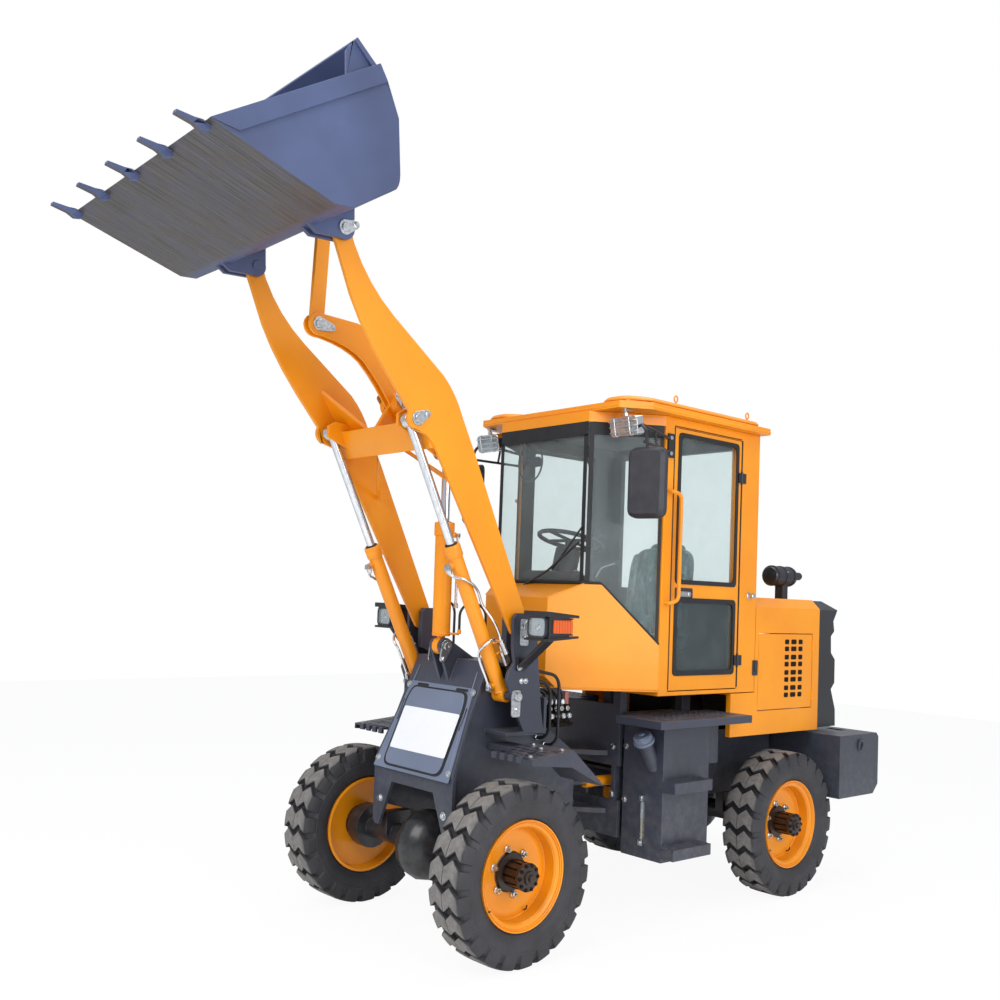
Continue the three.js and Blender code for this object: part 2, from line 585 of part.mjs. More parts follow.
// ---------------------------------------------------------------- front frame
const FRAME_PLATE = 20;
const FRAME_HALF = 285;
const UPRIGHT_INNER = 352;
const UPRIGHT_OUTER = BOOM_PLATE_INNER + BOOM_PLATE + 16;
const FACE_TOP = { x: 1003, z: 1405 };
const FACE_BOTTOM = { x: 1242, z: 850 };
const FACE_THICKNESS = 22;
const FACE_TOP_HALF = 296;        // kept inside the path of the lift cylinders
const FACE_BOTTOM_HALF = 332;
const FACE_FLARE_Z = 1095;
const LEG_BOTTOM = 498;
const ARCH_TOP = 740;
const TILT_EYE_HALF = 22;
const EAR_GAP = 3.5;
const EAR = 20;
const SHELF_Z = 1040;             // underside of the floor between the frame and the outer upright
const HOSE_BOSS = { x: 640, z: 1000 };

function frontFrame() {
  const reach = UPRIGHT_OUTER + FRAME_PLATE;
  const side = sidePlate(polygon([[FRONT_FRAME_REAR, 520], [980, 545], [1180, 600], [FACE_BOTTOM.x - 5, 640],
    [FACE_BOTTOM.x - 5, FACE_BOTTOM.z], [FACE_TOP.x - 5, FACE_TOP.z], [800, FACE_TOP.z], [700, 1150], [420, 960],
    [FRONT_FRAME_REAR, 900]]), FRAME_HALF - FRAME_PLATE, FRAME_HALF);
  const slab = sidePlate(polygon([[FACE_BOTTOM.x, LEG_BOTTOM], [FACE_BOTTOM.x, FACE_BOTTOM.z],
    [FACE_TOP.x, FACE_TOP.z], [FACE_TOP.x - FACE_THICKNESS, FACE_TOP.z], [FACE_BOTTOM.x - FACE_THICKNESS,
      FACE_BOTTOM.z], [FACE_BOTTOM.x - FACE_THICKNESS, LEG_BOTTOM]]), -400, 400);
  const face = slab.intersect(frontPlate(faceOutline(), 900, 1400));
  const topWide = block(800, 955, -UPRIGHT_INNER, UPRIGHT_INNER, FACE_TOP.z - 20, FACE_TOP.z);
  const topFront = block(950, FACE_TOP.x - 5, -FRAME_HALF, FRAME_HALF, FACE_TOP.z - 20, FACE_TOP.z);
  const inner = sidePlate(uprightOutline(0), UPRIGHT_INNER - FRAME_PLATE, UPRIGHT_INNER + FRAME_PLATE - 2);
  const outer = sidePlate(uprightOutline(1), UPRIGHT_OUTER, reach);
  const back = block(720, 740, FRAME_HALF - 5, reach, SHELF_Z, 1230);
  const floor = block(720, 1000, FRAME_HALF - 5, reach, SHELF_Z, SHELF_Z + FRAME_PLATE);
  const boomPin = cylinderY(BOOM_PIVOT.x, BOOM_PIVOT.z, 24, UPRIGHT_INNER - 10, reach + 12);
  const liftPin = cylinderY(LIFT_BASE.x, LIFT_BASE.z, 20, FRAME_HALF - 10, reach + 12);
  const rearPlate = block(FRONT_FRAME_REAR, FRONT_FRAME_REAR + 20, -FRAME_HALF, FRAME_HALF, 810, 900);
  const rearLow = block(FRONT_FRAME_REAR, FRONT_FRAME_REAR + 20, -FRAME_HALF, FRAME_HALF, 520, 590);
  const lugs = [UPPER_LUG_Z - LUG_GAP - LUG_THICKNESS, LOWER_LUG_Z + LUG_THICKNESS + LUG_GAP].map((z) =>
    cut(planPlate(lugOutline(FRONT_FRAME_REAR + 10, 240), z, z + LUG_THICKNESS),
      cylinderZ(HINGE_X, 0, HINGE_PIN_RADIUS + HINGE_BORE, z - 10, z + LUG_THICKNESS + 10)));
  const bulkhead = block(760, 780, -FRAME_HALF, FRAME_HALF, 560, 1250);
  const earInner = TILT_EYE_HALF + EAR_GAP;
  const ear = sidePlate(clevisOutline(), earInner, earInner + EAR);
  const tiltPin = cylinderY(TILT_BASE.x, TILT_BASE.z, 20, -earInner - 10, earInner + 10);
  const hoseBoss = cylinderY(HOSE_BOSS.x, HOSE_BOSS.z, 15, FRAME_HALF - 5, FRAME_HALF + 15);
  const hoseBossLow = cylinderY(HOSE_BOSS.x - 60, HOSE_BOSS.z - 40, 15, FRAME_HALF - 5, FRAME_HALF + 15);
  const tiltBoss = cylinderZ(TILT_HOSE_BOSS.x, TILT_HOSE_BOSS.y, 13, FACE_TOP.z - 5, FACE_TOP.z + 15);
  return join(bothSides(side), face, topWide, topFront, bulkhead, rearPlate, rearLow, ...lugs, bothSides(inner),
    bothSides(outer), bothSides(back), bothSides(floor), bothSides(boomPin), bothSides(liftPin), bothSides(ear),
    tiltPin, bothSides(hoseBoss), bothSides(hoseBossLow), bothSides(tiltBoss));
}

const FENDER_OUTER = 745;

// The front face in front view: narrow where the lift cylinders swing past, with an arch between two legs.
function faceOutline() {
  const half = [[FACE_TOP_HALF, FACE_TOP.z], [FACE_TOP_HALF + 3, FACE_FLARE_Z], [FACE_BOTTOM_HALF, FACE_BOTTOM.z],
    [FACE_BOTTOM_HALF, LEG_BOTTOM + 22], [FACE_BOTTOM_HALF - 20, LEG_BOTTOM], [FACE_BOTTOM_HALF - 52, LEG_BOTTOM],
    [175, ARCH_TOP]];
  return [...half, ...half.map(([y, z]) => [-y, z]).reverse()];
}

function uprightOutline(isOuter) {
  const outer = [[735, SHELF_Z + 5], [872, SHELF_Z + 5], [948, 1178], [1010, 1325], [1000, 1364], [962, 1412],
    [976, 1490], [978, 1636], [955, 1662], [838, 1662], [815, 1640], [790, 1400], [761, 1171]];
  const inner = [[745, 1180], [800, 1180], [865, 1400], [955, 1440], [955, 1640], [935, 1662], [835, 1662],
    [815, 1640], [790, 1400]];
  return polygon(isOuter ? outer : inner);
}

function clevisOutline() {
  const outline = new THREE.Shape();
  const radius = 44;
  outline.moveTo(1050, 1268);
  outline.lineTo(TILT_BASE.x + radius, TILT_BASE.z - 4);
  outline.absarc(TILT_BASE.x, TILT_BASE.z, radius, 0, Math.PI * 0.72, false);
  outline.lineTo(880, FACE_TOP.z - 2);
  outline.lineTo(880, FACE_TOP.z - 30);
  outline.lineTo(FACE_TOP.x, FACE_TOP.z - 60);
  return outline;
}

function fender() {
  const inner = UPRIGHT_OUTER + FRAME_PLATE + CLEARANCE;
  const skin = sidePlate(polygon([[1101, 966], [1101, 978], [819, 1003], [604, 824], [604, 810], [823, 991]]),
    inner, FENDER_OUTER);
  const skirt = sidePlate(polygon([[1101, 946], [1101, 975], [819, 1001], [604, 822], [598, 810], [827, 920]]),
    FENDER_OUTER - 6, FENDER_OUTER);
  const corner = planPlate(polygon([[1040, inner - 5], [1120, inner - 5], [1120, FENDER_OUTER + 5],
    [1101, FENDER_OUTER]]), 900, 1100);
  const bracket = block(840, 980, FRAME_HALF + CLEARANCE, 640, 958, 990);
  return join(cut(join(skin, skirt), corner), bracket);
}

function headlamp() {
  const inner = UPRIGHT_OUTER + FRAME_PLATE + CLEARANCE;
  const pad = block(890, 950, inner, inner + 12, 1370, 1440);
  const strap = frontPlate([[inner, 1392], [inner + 12, 1380], [650, 1530], [650, 1545], [636, 1545]], 890, 950);
  const housing = block(850, 990, 568, 715, 1546, 1656);
  const sideLamp = block(832, 985, 560, 712, 1570, 1644);
  const visor = sidePlate(polygon([[795, 1561], [795, 1550], [1003, 1534], [1003, 1546]]), 548, 728);
  const hat = sidePlate(polygon([[795, 1650], [795, 1664], [1008, 1680], [1008, 1654]]), 548, 728);
  return join(pad, strap, housing, sideLamp, visor, hat);
}

// ---------------------------------------------------------------- wheels
const WHEEL_SEGMENTS = 24;

function tyre(x, side) {
  const half = TYRE_WIDTH / 2;
  const bead = RIM_RADIUS + CLEARANCE * 2;
  const points = [[bead, -half + 36], [bead + 30, -half + 8], [TYRE_RADIUS - 75, -half], [TYRE_RADIUS - 22,
    -half + 8], [TYRE_RADIUS, -half + 28], [TYRE_RADIUS, half - 28], [TYRE_RADIUS - 22, half - 8],
    [TYRE_RADIUS - 75, half], [bead + 30, half - 8], [bead, half - 36], [bead, -half + 36]];
  const lathe = new THREE.LatheGeometry(points.map(([r, y]) => new THREE.Vector2(r, y)), WHEEL_SEGMENTS);
  lathe.translate(x, (side * TRACK) / 2, AXLE_Z);
  return solid(lathe);
}

// Wheel disc, barrel, lock ring and hub in one turned piece; the profile runs from outside to inside.
function rim(x, side) {
  const half = TYRE_WIDTH / 2;
  const disc = -20;
  const profile = [[0, 158], [66, 158], [76, 60], [128, 52], [140, disc + 14], [RIM_RADIUS - 22, disc + 14],
    [RIM_RADIUS - 10, half - 30], [RIM_RADIUS, half - 30], [RIM_RADIUS, -half + 30], [RIM_RADIUS - 12, -half + 30],
    [RIM_RADIUS - 26, disc - 2], [128, disc - 2], [124, -59], [0, -59]];
  const points = profile.map(([r, y]) => new THREE.Vector2(r, y));
  points.reverse();
  const lathe = new THREE.LatheGeometry(points, WHEEL_SEGMENTS);
  const wheel = solid(lathe);
  const placed = side > 0 ? wheel : mirrorY(wheel);
  return placed.translate([x, (side * TRACK) / 2, AXLE_Z]);
}

const UPPER_GUSSET = 234;
const LOWER_GUSSET = 290;
const GUSSET_THICKNESS = 14;

function boomOutline() {
  const outline = new THREE.Shape();
  const p = BOOM_PIVOT;
  const b = BUCKET_PIVOT;
  outline.moveTo(p.x + 48, p.z - 45);
  outline.lineTo(1100, 1793);
  outline.lineTo(1486, 2430);
  outline.quadraticCurveTo(1515, 2475, 1560, 2500);
  outline.lineTo(LIFT_PIN.x + 30, LIFT_PIN.z - 48);
  outline.absarc(LIFT_PIN.x, LIFT_PIN.z, 56, -Math.PI / 3, Math.PI / 6, false);
  outline.lineTo(1799, 2756);
  outline.quadraticCurveTo(1990, 2980, 2062, 3180);
  outline.lineTo(b.x + 48, b.z - 12);
  outline.absarc(b.x, b.z, 50, -Math.PI / 12, Math.PI * 0.9, false);
  outline.lineTo(2012, 3310);
  outline.quadraticCurveTo(1930, 3145, 1775, 3028);
  outline.lineTo(1462, 2797);
  outline.quadraticCurveTo(1380, 2720, 1336, 2615);
  outline.lineTo(1245, 2440);
  outline.lineTo(p.x - 50, p.z + 40);
  outline.absarc(p.x - 10, p.z, 64, Math.PI * 0.8, Math.PI * 1.65, false);
  return outline;
}

function boom() {
  const inner = BOOM_PLATE_INNER;
  const outer = inner + BOOM_PLATE;
  const plate = cut(sidePlate(boomOutline(), inner, outer),
    cylinderY(BOOM_PIVOT.x, BOOM_PIVOT.z, 25, inner - 10, outer + 10),
    cylinderY(BUCKET_PIVOT.x, BUCKET_PIVOT.z, 25, inner - 10, outer + 10));
  const tube = sidePlate(polygon([[1432, 2462], [1512, 2440], [1575, 2575], [1470, 2598]]), -inner - 5,
    inner + 5);
  const lugInner = LIFT_Y - 22 - RUN_GAP;
  const liftLug = sidePlate(polygon([[LIFT_PIN.x - 120, LIFT_PIN.z - 90], [LIFT_PIN.x - 20, LIFT_PIN.z - 55],
    [LIFT_PIN.x + 45, LIFT_PIN.z - 30], [LIFT_PIN.x + 45, LIFT_PIN.z + 30], [LIFT_PIN.x, LIFT_PIN.z + 55],
    [LIFT_PIN.x - 170, LIFT_PIN.z + 40]]), lugInner - 18, lugInner);
  const eyeHalf = ROCKER_GAP - PIN_GAP;
  const bracket = sidePlate(bracketOutline(), -eyeHalf, eyeHalf);
  const pinHalf = FORK_GAP + ROCKER_PLATE + 6;
  const pin = cylinderY(ROCKER_PIVOT.x, ROCKER_PIVOT.z, 24, -pinHalf, pinHalf);
  const upper = gusset({ x: 1505, z: 2588 }, { x: 1657, z: 2796 }, UPPER_GUSSET);
  const lower = gusset({ x: 1478, z: 2474 }, { x: 1266, z: 2256 }, LOWER_GUSSET);
  return join(bothSides(plate), tube, bothSides(liftLug), bracket, pin, bothSides(upper), bothSides(lower));
}

// A three-cornered plate that stiffens the corner between the cross tube, at root, and one boom plate.  It
// runs along the boom to tip, where it is narrowest, and is spread wide along the tube.
function gusset(root, tip, spread) {
  const length = Math.hypot(tip.x - root.x, tip.z - root.z);
  const side = BOOM_PLATE_INNER + 5;
  const web = GUSSET_THICKNESS / 2 / length;
  const dx = (tip.z - root.z) * web;
  const dz = (tip.x - root.x) * web;
  const strip = sidePlate(polygon([[root.x + dx, root.z - dz], [tip.x + dx, tip.z - dz], [tip.x - dx, tip.z + dz],
    [root.x - dx, root.z + dz]]), side - spread - 10, side);
  const low = Math.min(root.x, tip.x) - 50;
  const high = Math.max(root.x, tip.x) + 50;
  const slope = polygon([[root.x, side - spread], [tip.x, side], [high, side + 20], [low, side + 20]]);
  return strip.intersect(planPlate(slope, 1000, 4000));
}

function bracketOutline() {
  const outline = new THREE.Shape();
  outline.moveTo(1465, 2590);
  outline.lineTo(1570, 2570);
  outline.lineTo(ROCKER_PIVOT.x + 46, ROCKER_PIVOT.z);
  outline.absarc(ROCKER_PIVOT.x, ROCKER_PIVOT.z, 46, 0, Math.PI, false);
  return outline;
}

// The rocker's upper arm, from its pivot to the link.
function rockerUpper() {
  const outline = new THREE.Shape();
  const k = ROCKER_PIVOT;
  outline.moveTo(k.x + 20, k.z - 62);
  outline.quadraticCurveTo(1560, 2790, 1677, 2890);
  outline.quadraticCurveTo(1760, 2950, LINK_PIN.x - 30, LINK_PIN.z - 55);
  outline.absarc(LINK_PIN.x, LINK_PIN.z, 55, -Math.PI / 2, Math.PI / 2, false);
  outline.lineTo(1720, 3070);
  outline.quadraticCurveTo(1610, 3050, 1560, 2950);
  outline.quadraticCurveTo(1490, 2840, k.x - 30, k.z + 75);
  outline.lineTo(k.x - 60, k.z);
  return outline;
}

// The rocker's lower arm, from its pivot to the tilt rod's eye.
function rockerLower() {
  const outline = new THREE.Shape();
  const k = ROCKER_PIVOT;
  outline.moveTo(TILT_PIN.x - 20, TILT_PIN.z - 42);
  outline.quadraticCurveTo(1300, 2580, k.x + 20, k.z - 62);
  outline.lineTo(k.x + 52, k.z);
  outline.lineTo(k.x - 30, k.z + 75);
  outline.quadraticCurveTo(1250, 2680, TILT_PIN.x - 20, TILT_PIN.z + 42);
  outline.absarc(TILT_PIN.x, TILT_PIN.z, 46, Math.PI * 0.65, Math.PI * 1.35, false);
  return outline;
}

// Two upper plates close to the link and two lower ones wide enough to pass the tilt cylinder, joined by a
// round boss on the pivot.  A spacer web ties the upper ones together between the pivot and the link pin.
function rocker() {
  const high = FORK_GAP + ROCKER_PLATE;
  const upper = sidePlate(rockerUpper(), ROCKER_GAP, ROCKER_GAP + ROCKER_PLATE);
  const lower = sidePlate(rockerLower(), FORK_GAP, high);
  const boss = cylinderY(ROCKER_PIVOT.x, ROCKER_PIVOT.z, 52, ROCKER_GAP, high);
  const plate = cut(join(upper, lower, boss), cylinderY(ROCKER_PIVOT.x, ROCKER_PIVOT.z, 25, 0, 200));
  const web = sidePlate(polygon([[1610, 2900], [1700, 2960], [1680, 2990], [1590, 2930]]), -ROCKER_GAP - 5,
    ROCKER_GAP + 5);
  const linkPin = cylinderY(LINK_PIN.x, LINK_PIN.z, 22, -ROCKER_GAP - ROCKER_PLATE - 6,
    ROCKER_GAP + ROCKER_PLATE + 6);
  return join(bothSides(plate), web, linkPin);
}

function link() {
  const outline = new THREE.Shape();
  const half = LINK_WIDTH / 2;
  outline.moveTo(LINK_PIN.x - half, LINK_PIN.z);
  outline.absarc(LINK_PIN.x, LINK_PIN.z, half, Math.PI, Math.PI * 2, false);
  outline.lineTo(BUCKET_LUG.x + half, BUCKET_LUG.z);
  outline.absarc(BUCKET_LUG.x, BUCKET_LUG.z, half, 0, Math.PI, false);
  return cut(sidePlate(outline, -LINK_HALF, LINK_HALF),
    cylinderY(LINK_PIN.x, LINK_PIN.z, 23, -LINK_HALF - 10, LINK_HALF + 10));
}

// A cylinder's barrel: an eye on its base pin, a neck no thicker than the eye, then the tube and its collar.
function barrel(base, tip, y, radius, rodRadius, length, eyeHalf, pinRadius, tubeStart) {
  const end = along(base, tip, length);
  const tube = barXZ(along(base, tip, tubeStart), end, y, radius);
  const neck = barXZ(base, along(base, tip, tubeStart + 10), y, Math.min(radius * 0.9, eyeHalf));
  const collar = barXZ(along(base, tip, length - 55), end, y, radius + 2);
  const eye = cylinderY(base.x, base.z, radius * 0.95, y - eyeHalf, y + eyeHalf);
  const bore = barXZ(along(base, tip, radius * 2), along(base, tip, length + 10), y, rodRadius + 1.5);
  const pinBore = cylinderY(base.x, base.z, pinRadius, y - eyeHalf - 40, y + eyeHalf + 40);
  return cut(join(tube, neck, collar, eye), bore, pinBore);
}

// A rod with a round eye at tip, on a neck no thicker than the eye and neckLength long.
function rod(base, tip, y, rodRadius, start, eyeRadius, eyeHalf, neckLength) {
  const shaft = barXZ(along(base, tip, start), along(tip, base, neckLength), y, rodRadius);
  const neck = barXZ(along(tip, base, neckLength + 5), tip, y, Math.min(rodRadius, eyeHalf));
  const eye = cylinderY(tip.x, tip.z, eyeRadius, y - eyeHalf, y + eyeHalf);
  return join(shaft, neck, eye);
}

// Hoses leave each lift barrel from two crimped ferrules and run behind the uprights to bosses on the frame.
const LIFT_FERRULES = [
  { from: [1012, 392, 1520], to: [980, 402, 1452] },
  { from: [985, 370, 1462], to: [953, 376, 1394] },
];
const LIFT_HOSES = [
  [[979.68, 402.1, 1451.32], [956.5, 409.4, 1402], [580, 391, 1332], [580, 391, 960], [580, 300.4, 960]],
  [[952.68, 376.06, 1393.32], [929.3, 380.5, 1343.7], [640, 387, 1292], [640, 387, 1000], [640, 300.4, 1000]],
];
const HOSE_BEND = 74;
const TILT_FERRULE = { from: [1022, 72, 1536], to: [1022, 72, 1560] };
const TILT_HOSE_RADIUS = 7;
const TILT_HOSE_BOSS = { x: 890, y: 130 };
const TILT_HOSE = [[1022, 72, 1560.4], [1022, 72, 1700], [890, 130, 1700], [890, 130, 1420.4]];
const TILT_HOSE_BEND = 70;

// A ferrule and the short pipe that feeds it, square out of the wall of the barrel from base to tip.
function ferrule({ from, to }, base, tip, y, wall, radius) {
  const axis = new THREE.Line3(new THREE.Vector3(base.x, y, base.z), new THREE.Vector3(tip.x, y, tip.z));
  const port = new THREE.Vector3(...from);
  const centre = axis.closestPointToPoint(port, true, new THREE.Vector3());
  const start = centre.clone().add(port.sub(centre).setLength(wall));
  return join(bar(start.toArray(), from, radius * 0.6, 10), bar(from, to, radius, 10));
}

const liftFerrules = () => LIFT_FERRULES.map((item) => ferrule(item, LIFT_BASE, LIFT_PIN, LIFT_Y,
  LIFT_BARREL_RADIUS - 6, 12));

function steerPart(side, isRod) {
  const from = { x: STEER_BASE.x, z: STEER_BASE.y * side };
  const to = { x: STEER_PIN.x, z: STEER_PIN.y * side };
  const half = 26;
  const flat = isRod ? rod(from, to, 0, STEER_ROD_RADIUS, 175, 26, half, 1)
    : barrel(from, to, 0, STEER_BARREL_RADIUS, STEER_ROD_RADIUS, 330, half, 0.1, 18);
  return flat.rotate([-90, 0, 0]).translate([0, 0, STEER_Z]);
}

// ---------------------------------------------------------------- bucket
const BUCKET_LIP = { x: 2895, z: 3500 };
const BUCKET_HEEL = { x: 2325, z: 3325 };

function bucketSideOutline() {
  const outline = new THREE.Shape();
  outline.moveTo(BUCKET_LIP.x, BUCKET_LIP.z);
  outline.lineTo(2136, 3983);
  outline.lineTo(2092, 3916);
  outline.lineTo(2021, 3783);
  outline.lineTo(2001, 3542);
  outline.quadraticCurveTo(1998, 3478, 2034, 3462);
  outline.lineTo(2238, 3332);
  outline.lineTo(BUCKET_HEEL.x, BUCKET_HEEL.z);
  return outline;
}

// The pressed shell: bottom plate, heel, curved back and top, as a band of one thickness.
function bucketShellOutline() {
  const t = BUCKET_SHELL;
  const outline = new THREE.Shape();
  outline.moveTo(BUCKET_LIP.x, BUCKET_LIP.z);
  outline.lineTo(BUCKET_LIP.x - 90, BUCKET_LIP.z - 4);
  outline.lineTo(2320, BUCKET_HEEL.z + t + 4);
  outline.lineTo(2250, 3332 + t + 2);
  outline.lineTo(2045, 3478);
  outline.quadraticCurveTo(2016, 3490, 2001 + t, 3545);
  outline.lineTo(2021 + t, 3780);
  outline.lineTo(2092 + t, 3908);
  outline.lineTo(2262, 4040);
  outline.lineTo(2250, 4058);
  outline.lineTo(2086, 3926);
  outline.lineTo(2021, 3783);
  outline.lineTo(2001, 3542);
  outline.quadraticCurveTo(1998, 3478, 2034, 3462);
  outline.lineTo(2238, 3332);
  outline.lineTo(BUCKET_HEEL.x, BUCKET_HEEL.z);
  return outline;
}

function earOutline() {
  const outline = new THREE.Shape();
  const b = BUCKET_PIVOT;
  outline.moveTo(2290, 3340);
  outline.lineTo(2040, 3475);
  outline.lineTo(b.x - 52, b.z + 10);
  outline.absarc(b.x, b.z, 54, Math.PI * 0.95, Math.PI * 1.6, false);
  outline.lineTo(2230, 3300);
  return outline;
}

function tooth(y) {
  const outline = polygon([[-34, -4], [-28, -32], [8, -38], [42, -20], [116, -4], [112, 12], [38, 6], [6, 8],
    [-32, 0]]);
  return sidePlate(outline, -14, 14).translate([BUCKET_LIP.x, y, BUCKET_LIP.z]);
}

// The rounded cheek at each end of the bucket's top edge.
function guardOutline() {
  const outline = new THREE.Shape();
  outline.moveTo(2130, 3960);
  outline.lineTo(2210, 4040);
  outline.quadraticCurveTo(2240, 4070, 2264, 4040);
  outline.lineTo(2296, 3990);
  outline.lineTo(2290, 3880);
  return outline;
}

function bucket() {
  const half = BUCKET_HALF;
  const shell = sidePlate(bucketShellOutline(), -half + 2, half - 2);
  const side = sidePlate(bucketSideOutline(), half - BUCKET_SIDE, half);
  const strip = sidePlate(polygon([[BUCKET_LIP.x, BUCKET_LIP.z], [2136, 3983], [2092, 3916], [2770, 3485]]),
    half - BUCKET_SIDE, half + 10);
  const guard = sidePlate(guardOutline(), half - 30, half - 18);
  const earInner = sidePlate(earOutline(), BOOM_PLATE_INNER - RUN_GAP - 22, BOOM_PLATE_INNER - RUN_GAP);
  const earOuter = sidePlate(earOutline(), BOOM_PLATE_INNER + BOOM_PLATE + RUN_GAP,
    BOOM_PLATE_INNER + BOOM_PLATE + RUN_GAP + 22);
  const pin = cylinderY(BUCKET_PIVOT.x, BUCKET_PIVOT.z, 24, BOOM_PLATE_INNER - RUN_GAP - 30,
    BOOM_PLATE_INNER + BOOM_PLATE + RUN_GAP + 30);
  const lug = sidePlate(polygon([[BUCKET_LUG.x - 40, BUCKET_LUG.z - 42], [2012, BUCKET_LUG.z - 130],
    [2028, BUCKET_LUG.z + 130], [BUCKET_LUG.x - 40, BUCKET_LUG.z + 42]]), LINK_HALF + RUN_GAP,
  LINK_HALF + RUN_GAP + 22);
  const teeth = [-2, -1, 0, 1, 2].map((n) => tooth((n * (half - 60)) / 2));
  return join(shell, bothSides(side), bothSides(strip), bothSides(guard), bothSides(earInner),
    bothSides(earOuter),
    bothSides(pin), bothSides(lug), ...teeth);
}

// ---------------------------------------------------------------- assembly
const SIDES = [['left', 1], ['right', -1]];
const onSide = (manifold, side) => (side > 0 ? manifold : mirrorY(manifold));

piece(machine, 'rear_frame', join(rearFrame(), engineMounts()), SLATE);
piece(machine, 'rear_axle', axle(REAR_AXLE, RAIL_BOTTOM, 232), CAST);
piece(machine, 'engine', cut(engine(), engineMounts()), CAST);
piece(machine, 'hood', hood(), YELLOW);
piece(machine, 'rear_fascia', rearFascia(), PLASTIC);
piece(machine, 'counterweight', counterweight(), SLATE);
for (const [name, side] of SIDES) {
  piece(machine, `${name}_tank`, onSide(tank(), side), SLATE);
}
piece(machine, 'cab_shell', cabShell(), YELLOW);
piece(machine, 'cab_cowl', cabCowl(), YELLOW);
piece(machine, 'windshield', windshield(), GLAZING);
piece(machine, 'cab_roof', cabRoof(), YELLOW);
piece(machine, 'right_upper_glass', mirrorY(paneXZ(DOOR_REAR + 30, DOOR_FRONT - 30, RAIL_HIGH,
  HEADER_BOTTOM - 20, CAB_HALF_WIDTH - 20)), GLAZING);
piece(machine, 'rear_glass', block(CAB_REAR + 16, CAB_REAR + 16 + GLASS, -480 + CLEARANCE, 480 - CLEARANCE,
  1840 + CLEARANCE, HEADER_BOTTOM - 20 - CLEARANCE), GLAZING);
piece(machine, 'seat_base', seatBase(), PLASTIC);
piece(machine, 'seat', seat(), VINYL);
piece(machine, 'steering_column', steeringColumn(), PLASTIC);
piece(machine, 'lever_console', leverConsole(), PLASTIC);
for (const [name, side] of SIDES) {
  piece(machine, `${name}_mirror`, onSide(mirror(), side), PLASTIC);
}
piece(machine, 'air_cleaner', airCleaner(), PLASTIC);

const door = body(machine, DOOR_REAR, CAB_HALF_WIDTH + 5, DOOR_BOTTOM, 'cab_door_hinge');
piece(door, 'cab_door', cabDoor(), YELLOW);
piece(door, 'door_upper_glass', paneXZ(DOOR_REAR + DOOR_RIM, DOOR_FRONT - DOOR_RIM, RAIL_HIGH,
  DOOR_TOP - DOOR_RIM,
  CAB_HALF_WIDTH - 20), GLAZING);

for (const [name, side] of SIDES) {
  const panel = body(machine, HOOD_DOOR_REAR, (CAB_HALF_WIDTH + 5) * side, HOOD_DOOR_BOTTOM,
    `${name}_hood_door_hinge`);
  piece(panel, `${name}_hood_door`, onSide(hoodDoor(), side), YELLOW);
}

for (const [name, side] of SIDES) {
  const rear = body(machine, REAR_AXLE, (TRACK / 2) * side, AXLE_Z, `rear_${name}_wheel`);
  piece(rear, `rear_${name}_tyre`, tyre(REAR_AXLE, side), RUBBER);
  piece(rear, `rear_${name}_rim`, rim(REAR_AXLE, side), YELLOW);
}

for (const [name, side] of SIDES) {
  const turning = body(machine, STEER_BASE.x, STEER_BASE.y * side, STEER_Z, `${name}_steer_barrel_hinge`);
  piece(turning, `${name}_steer_barrel`, steerPart(side, false), YELLOW);
  const sliding = body(turning, STEER_PIN.x, STEER_PIN.y * side, STEER_Z, `${name}_steer_rod_slide`);
  piece(sliding, `${name}_steer_rod`, steerPart(side, true), CHROME);
}

const front = body(machine, HINGE_X, 0, UPPER_LUG_Z, 'steer');
piece(front, 'front_frame', frontFrame(), SLATE);
piece(front, 'front_axle', axle(FRONT_AXLE, 560, FRAME_HALF - FRAME_PLATE), CAST);
for (const [name, side] of SIDES) {
  piece(front, `${name}_fender`, onSide(fender(), side), SLATE);
  piece(front, `${name}_headlamp`, onSide(headlamp(), side), PLASTIC);
  const wheel = body(front, FRONT_AXLE, (TRACK / 2) * side, AXLE_Z, `front_${name}_wheel`);
  piece(wheel, `front_${name}_tyre`, tyre(FRONT_AXLE, side), RUBBER);
  piece(wheel, `front_${name}_rim`, rim(FRONT_AXLE, side), YELLOW);
  LIFT_HOSES.forEach((points, index) => {
    piece(front, `${name}_lift_hose_${index + 1}`, onSide(hose(points, HOSE_BEND, HOSE_RADIUS), side), RUBBER);
  });
  piece(front, `${name}_tilt_hose`, onSide(hose(TILT_HOSE, TILT_HOSE_BEND, TILT_HOSE_RADIUS), side),
    RUBBER);
  const lift = body(front, LIFT_BASE.x, LIFT_Y * side, LIFT_BASE.z, `${name}_lift_barrel_hinge`);
  const liftBarrel = barrel(LIFT_BASE, LIFT_PIN, LIFT_Y, LIFT_BARREL_RADIUS, LIFT_ROD_RADIUS, LIFT_BARREL_LENGTH,
    40, 21, 23);
  piece(lift, `${name}_lift_barrel`, onSide(join(liftBarrel, ...liftFerrules()), side), YELLOW);
  const sliding = body(lift, LIFT_PIN.x, LIFT_Y * side, LIFT_PIN.z, `${name}_lift_rod_slide`);
  piece(sliding, `${name}_lift_rod`, onSide(rod(LIFT_BASE, LIFT_PIN, LIFT_Y, LIFT_ROD_RADIUS, 600, 38, 22, 1), side),
    CHROME);
}

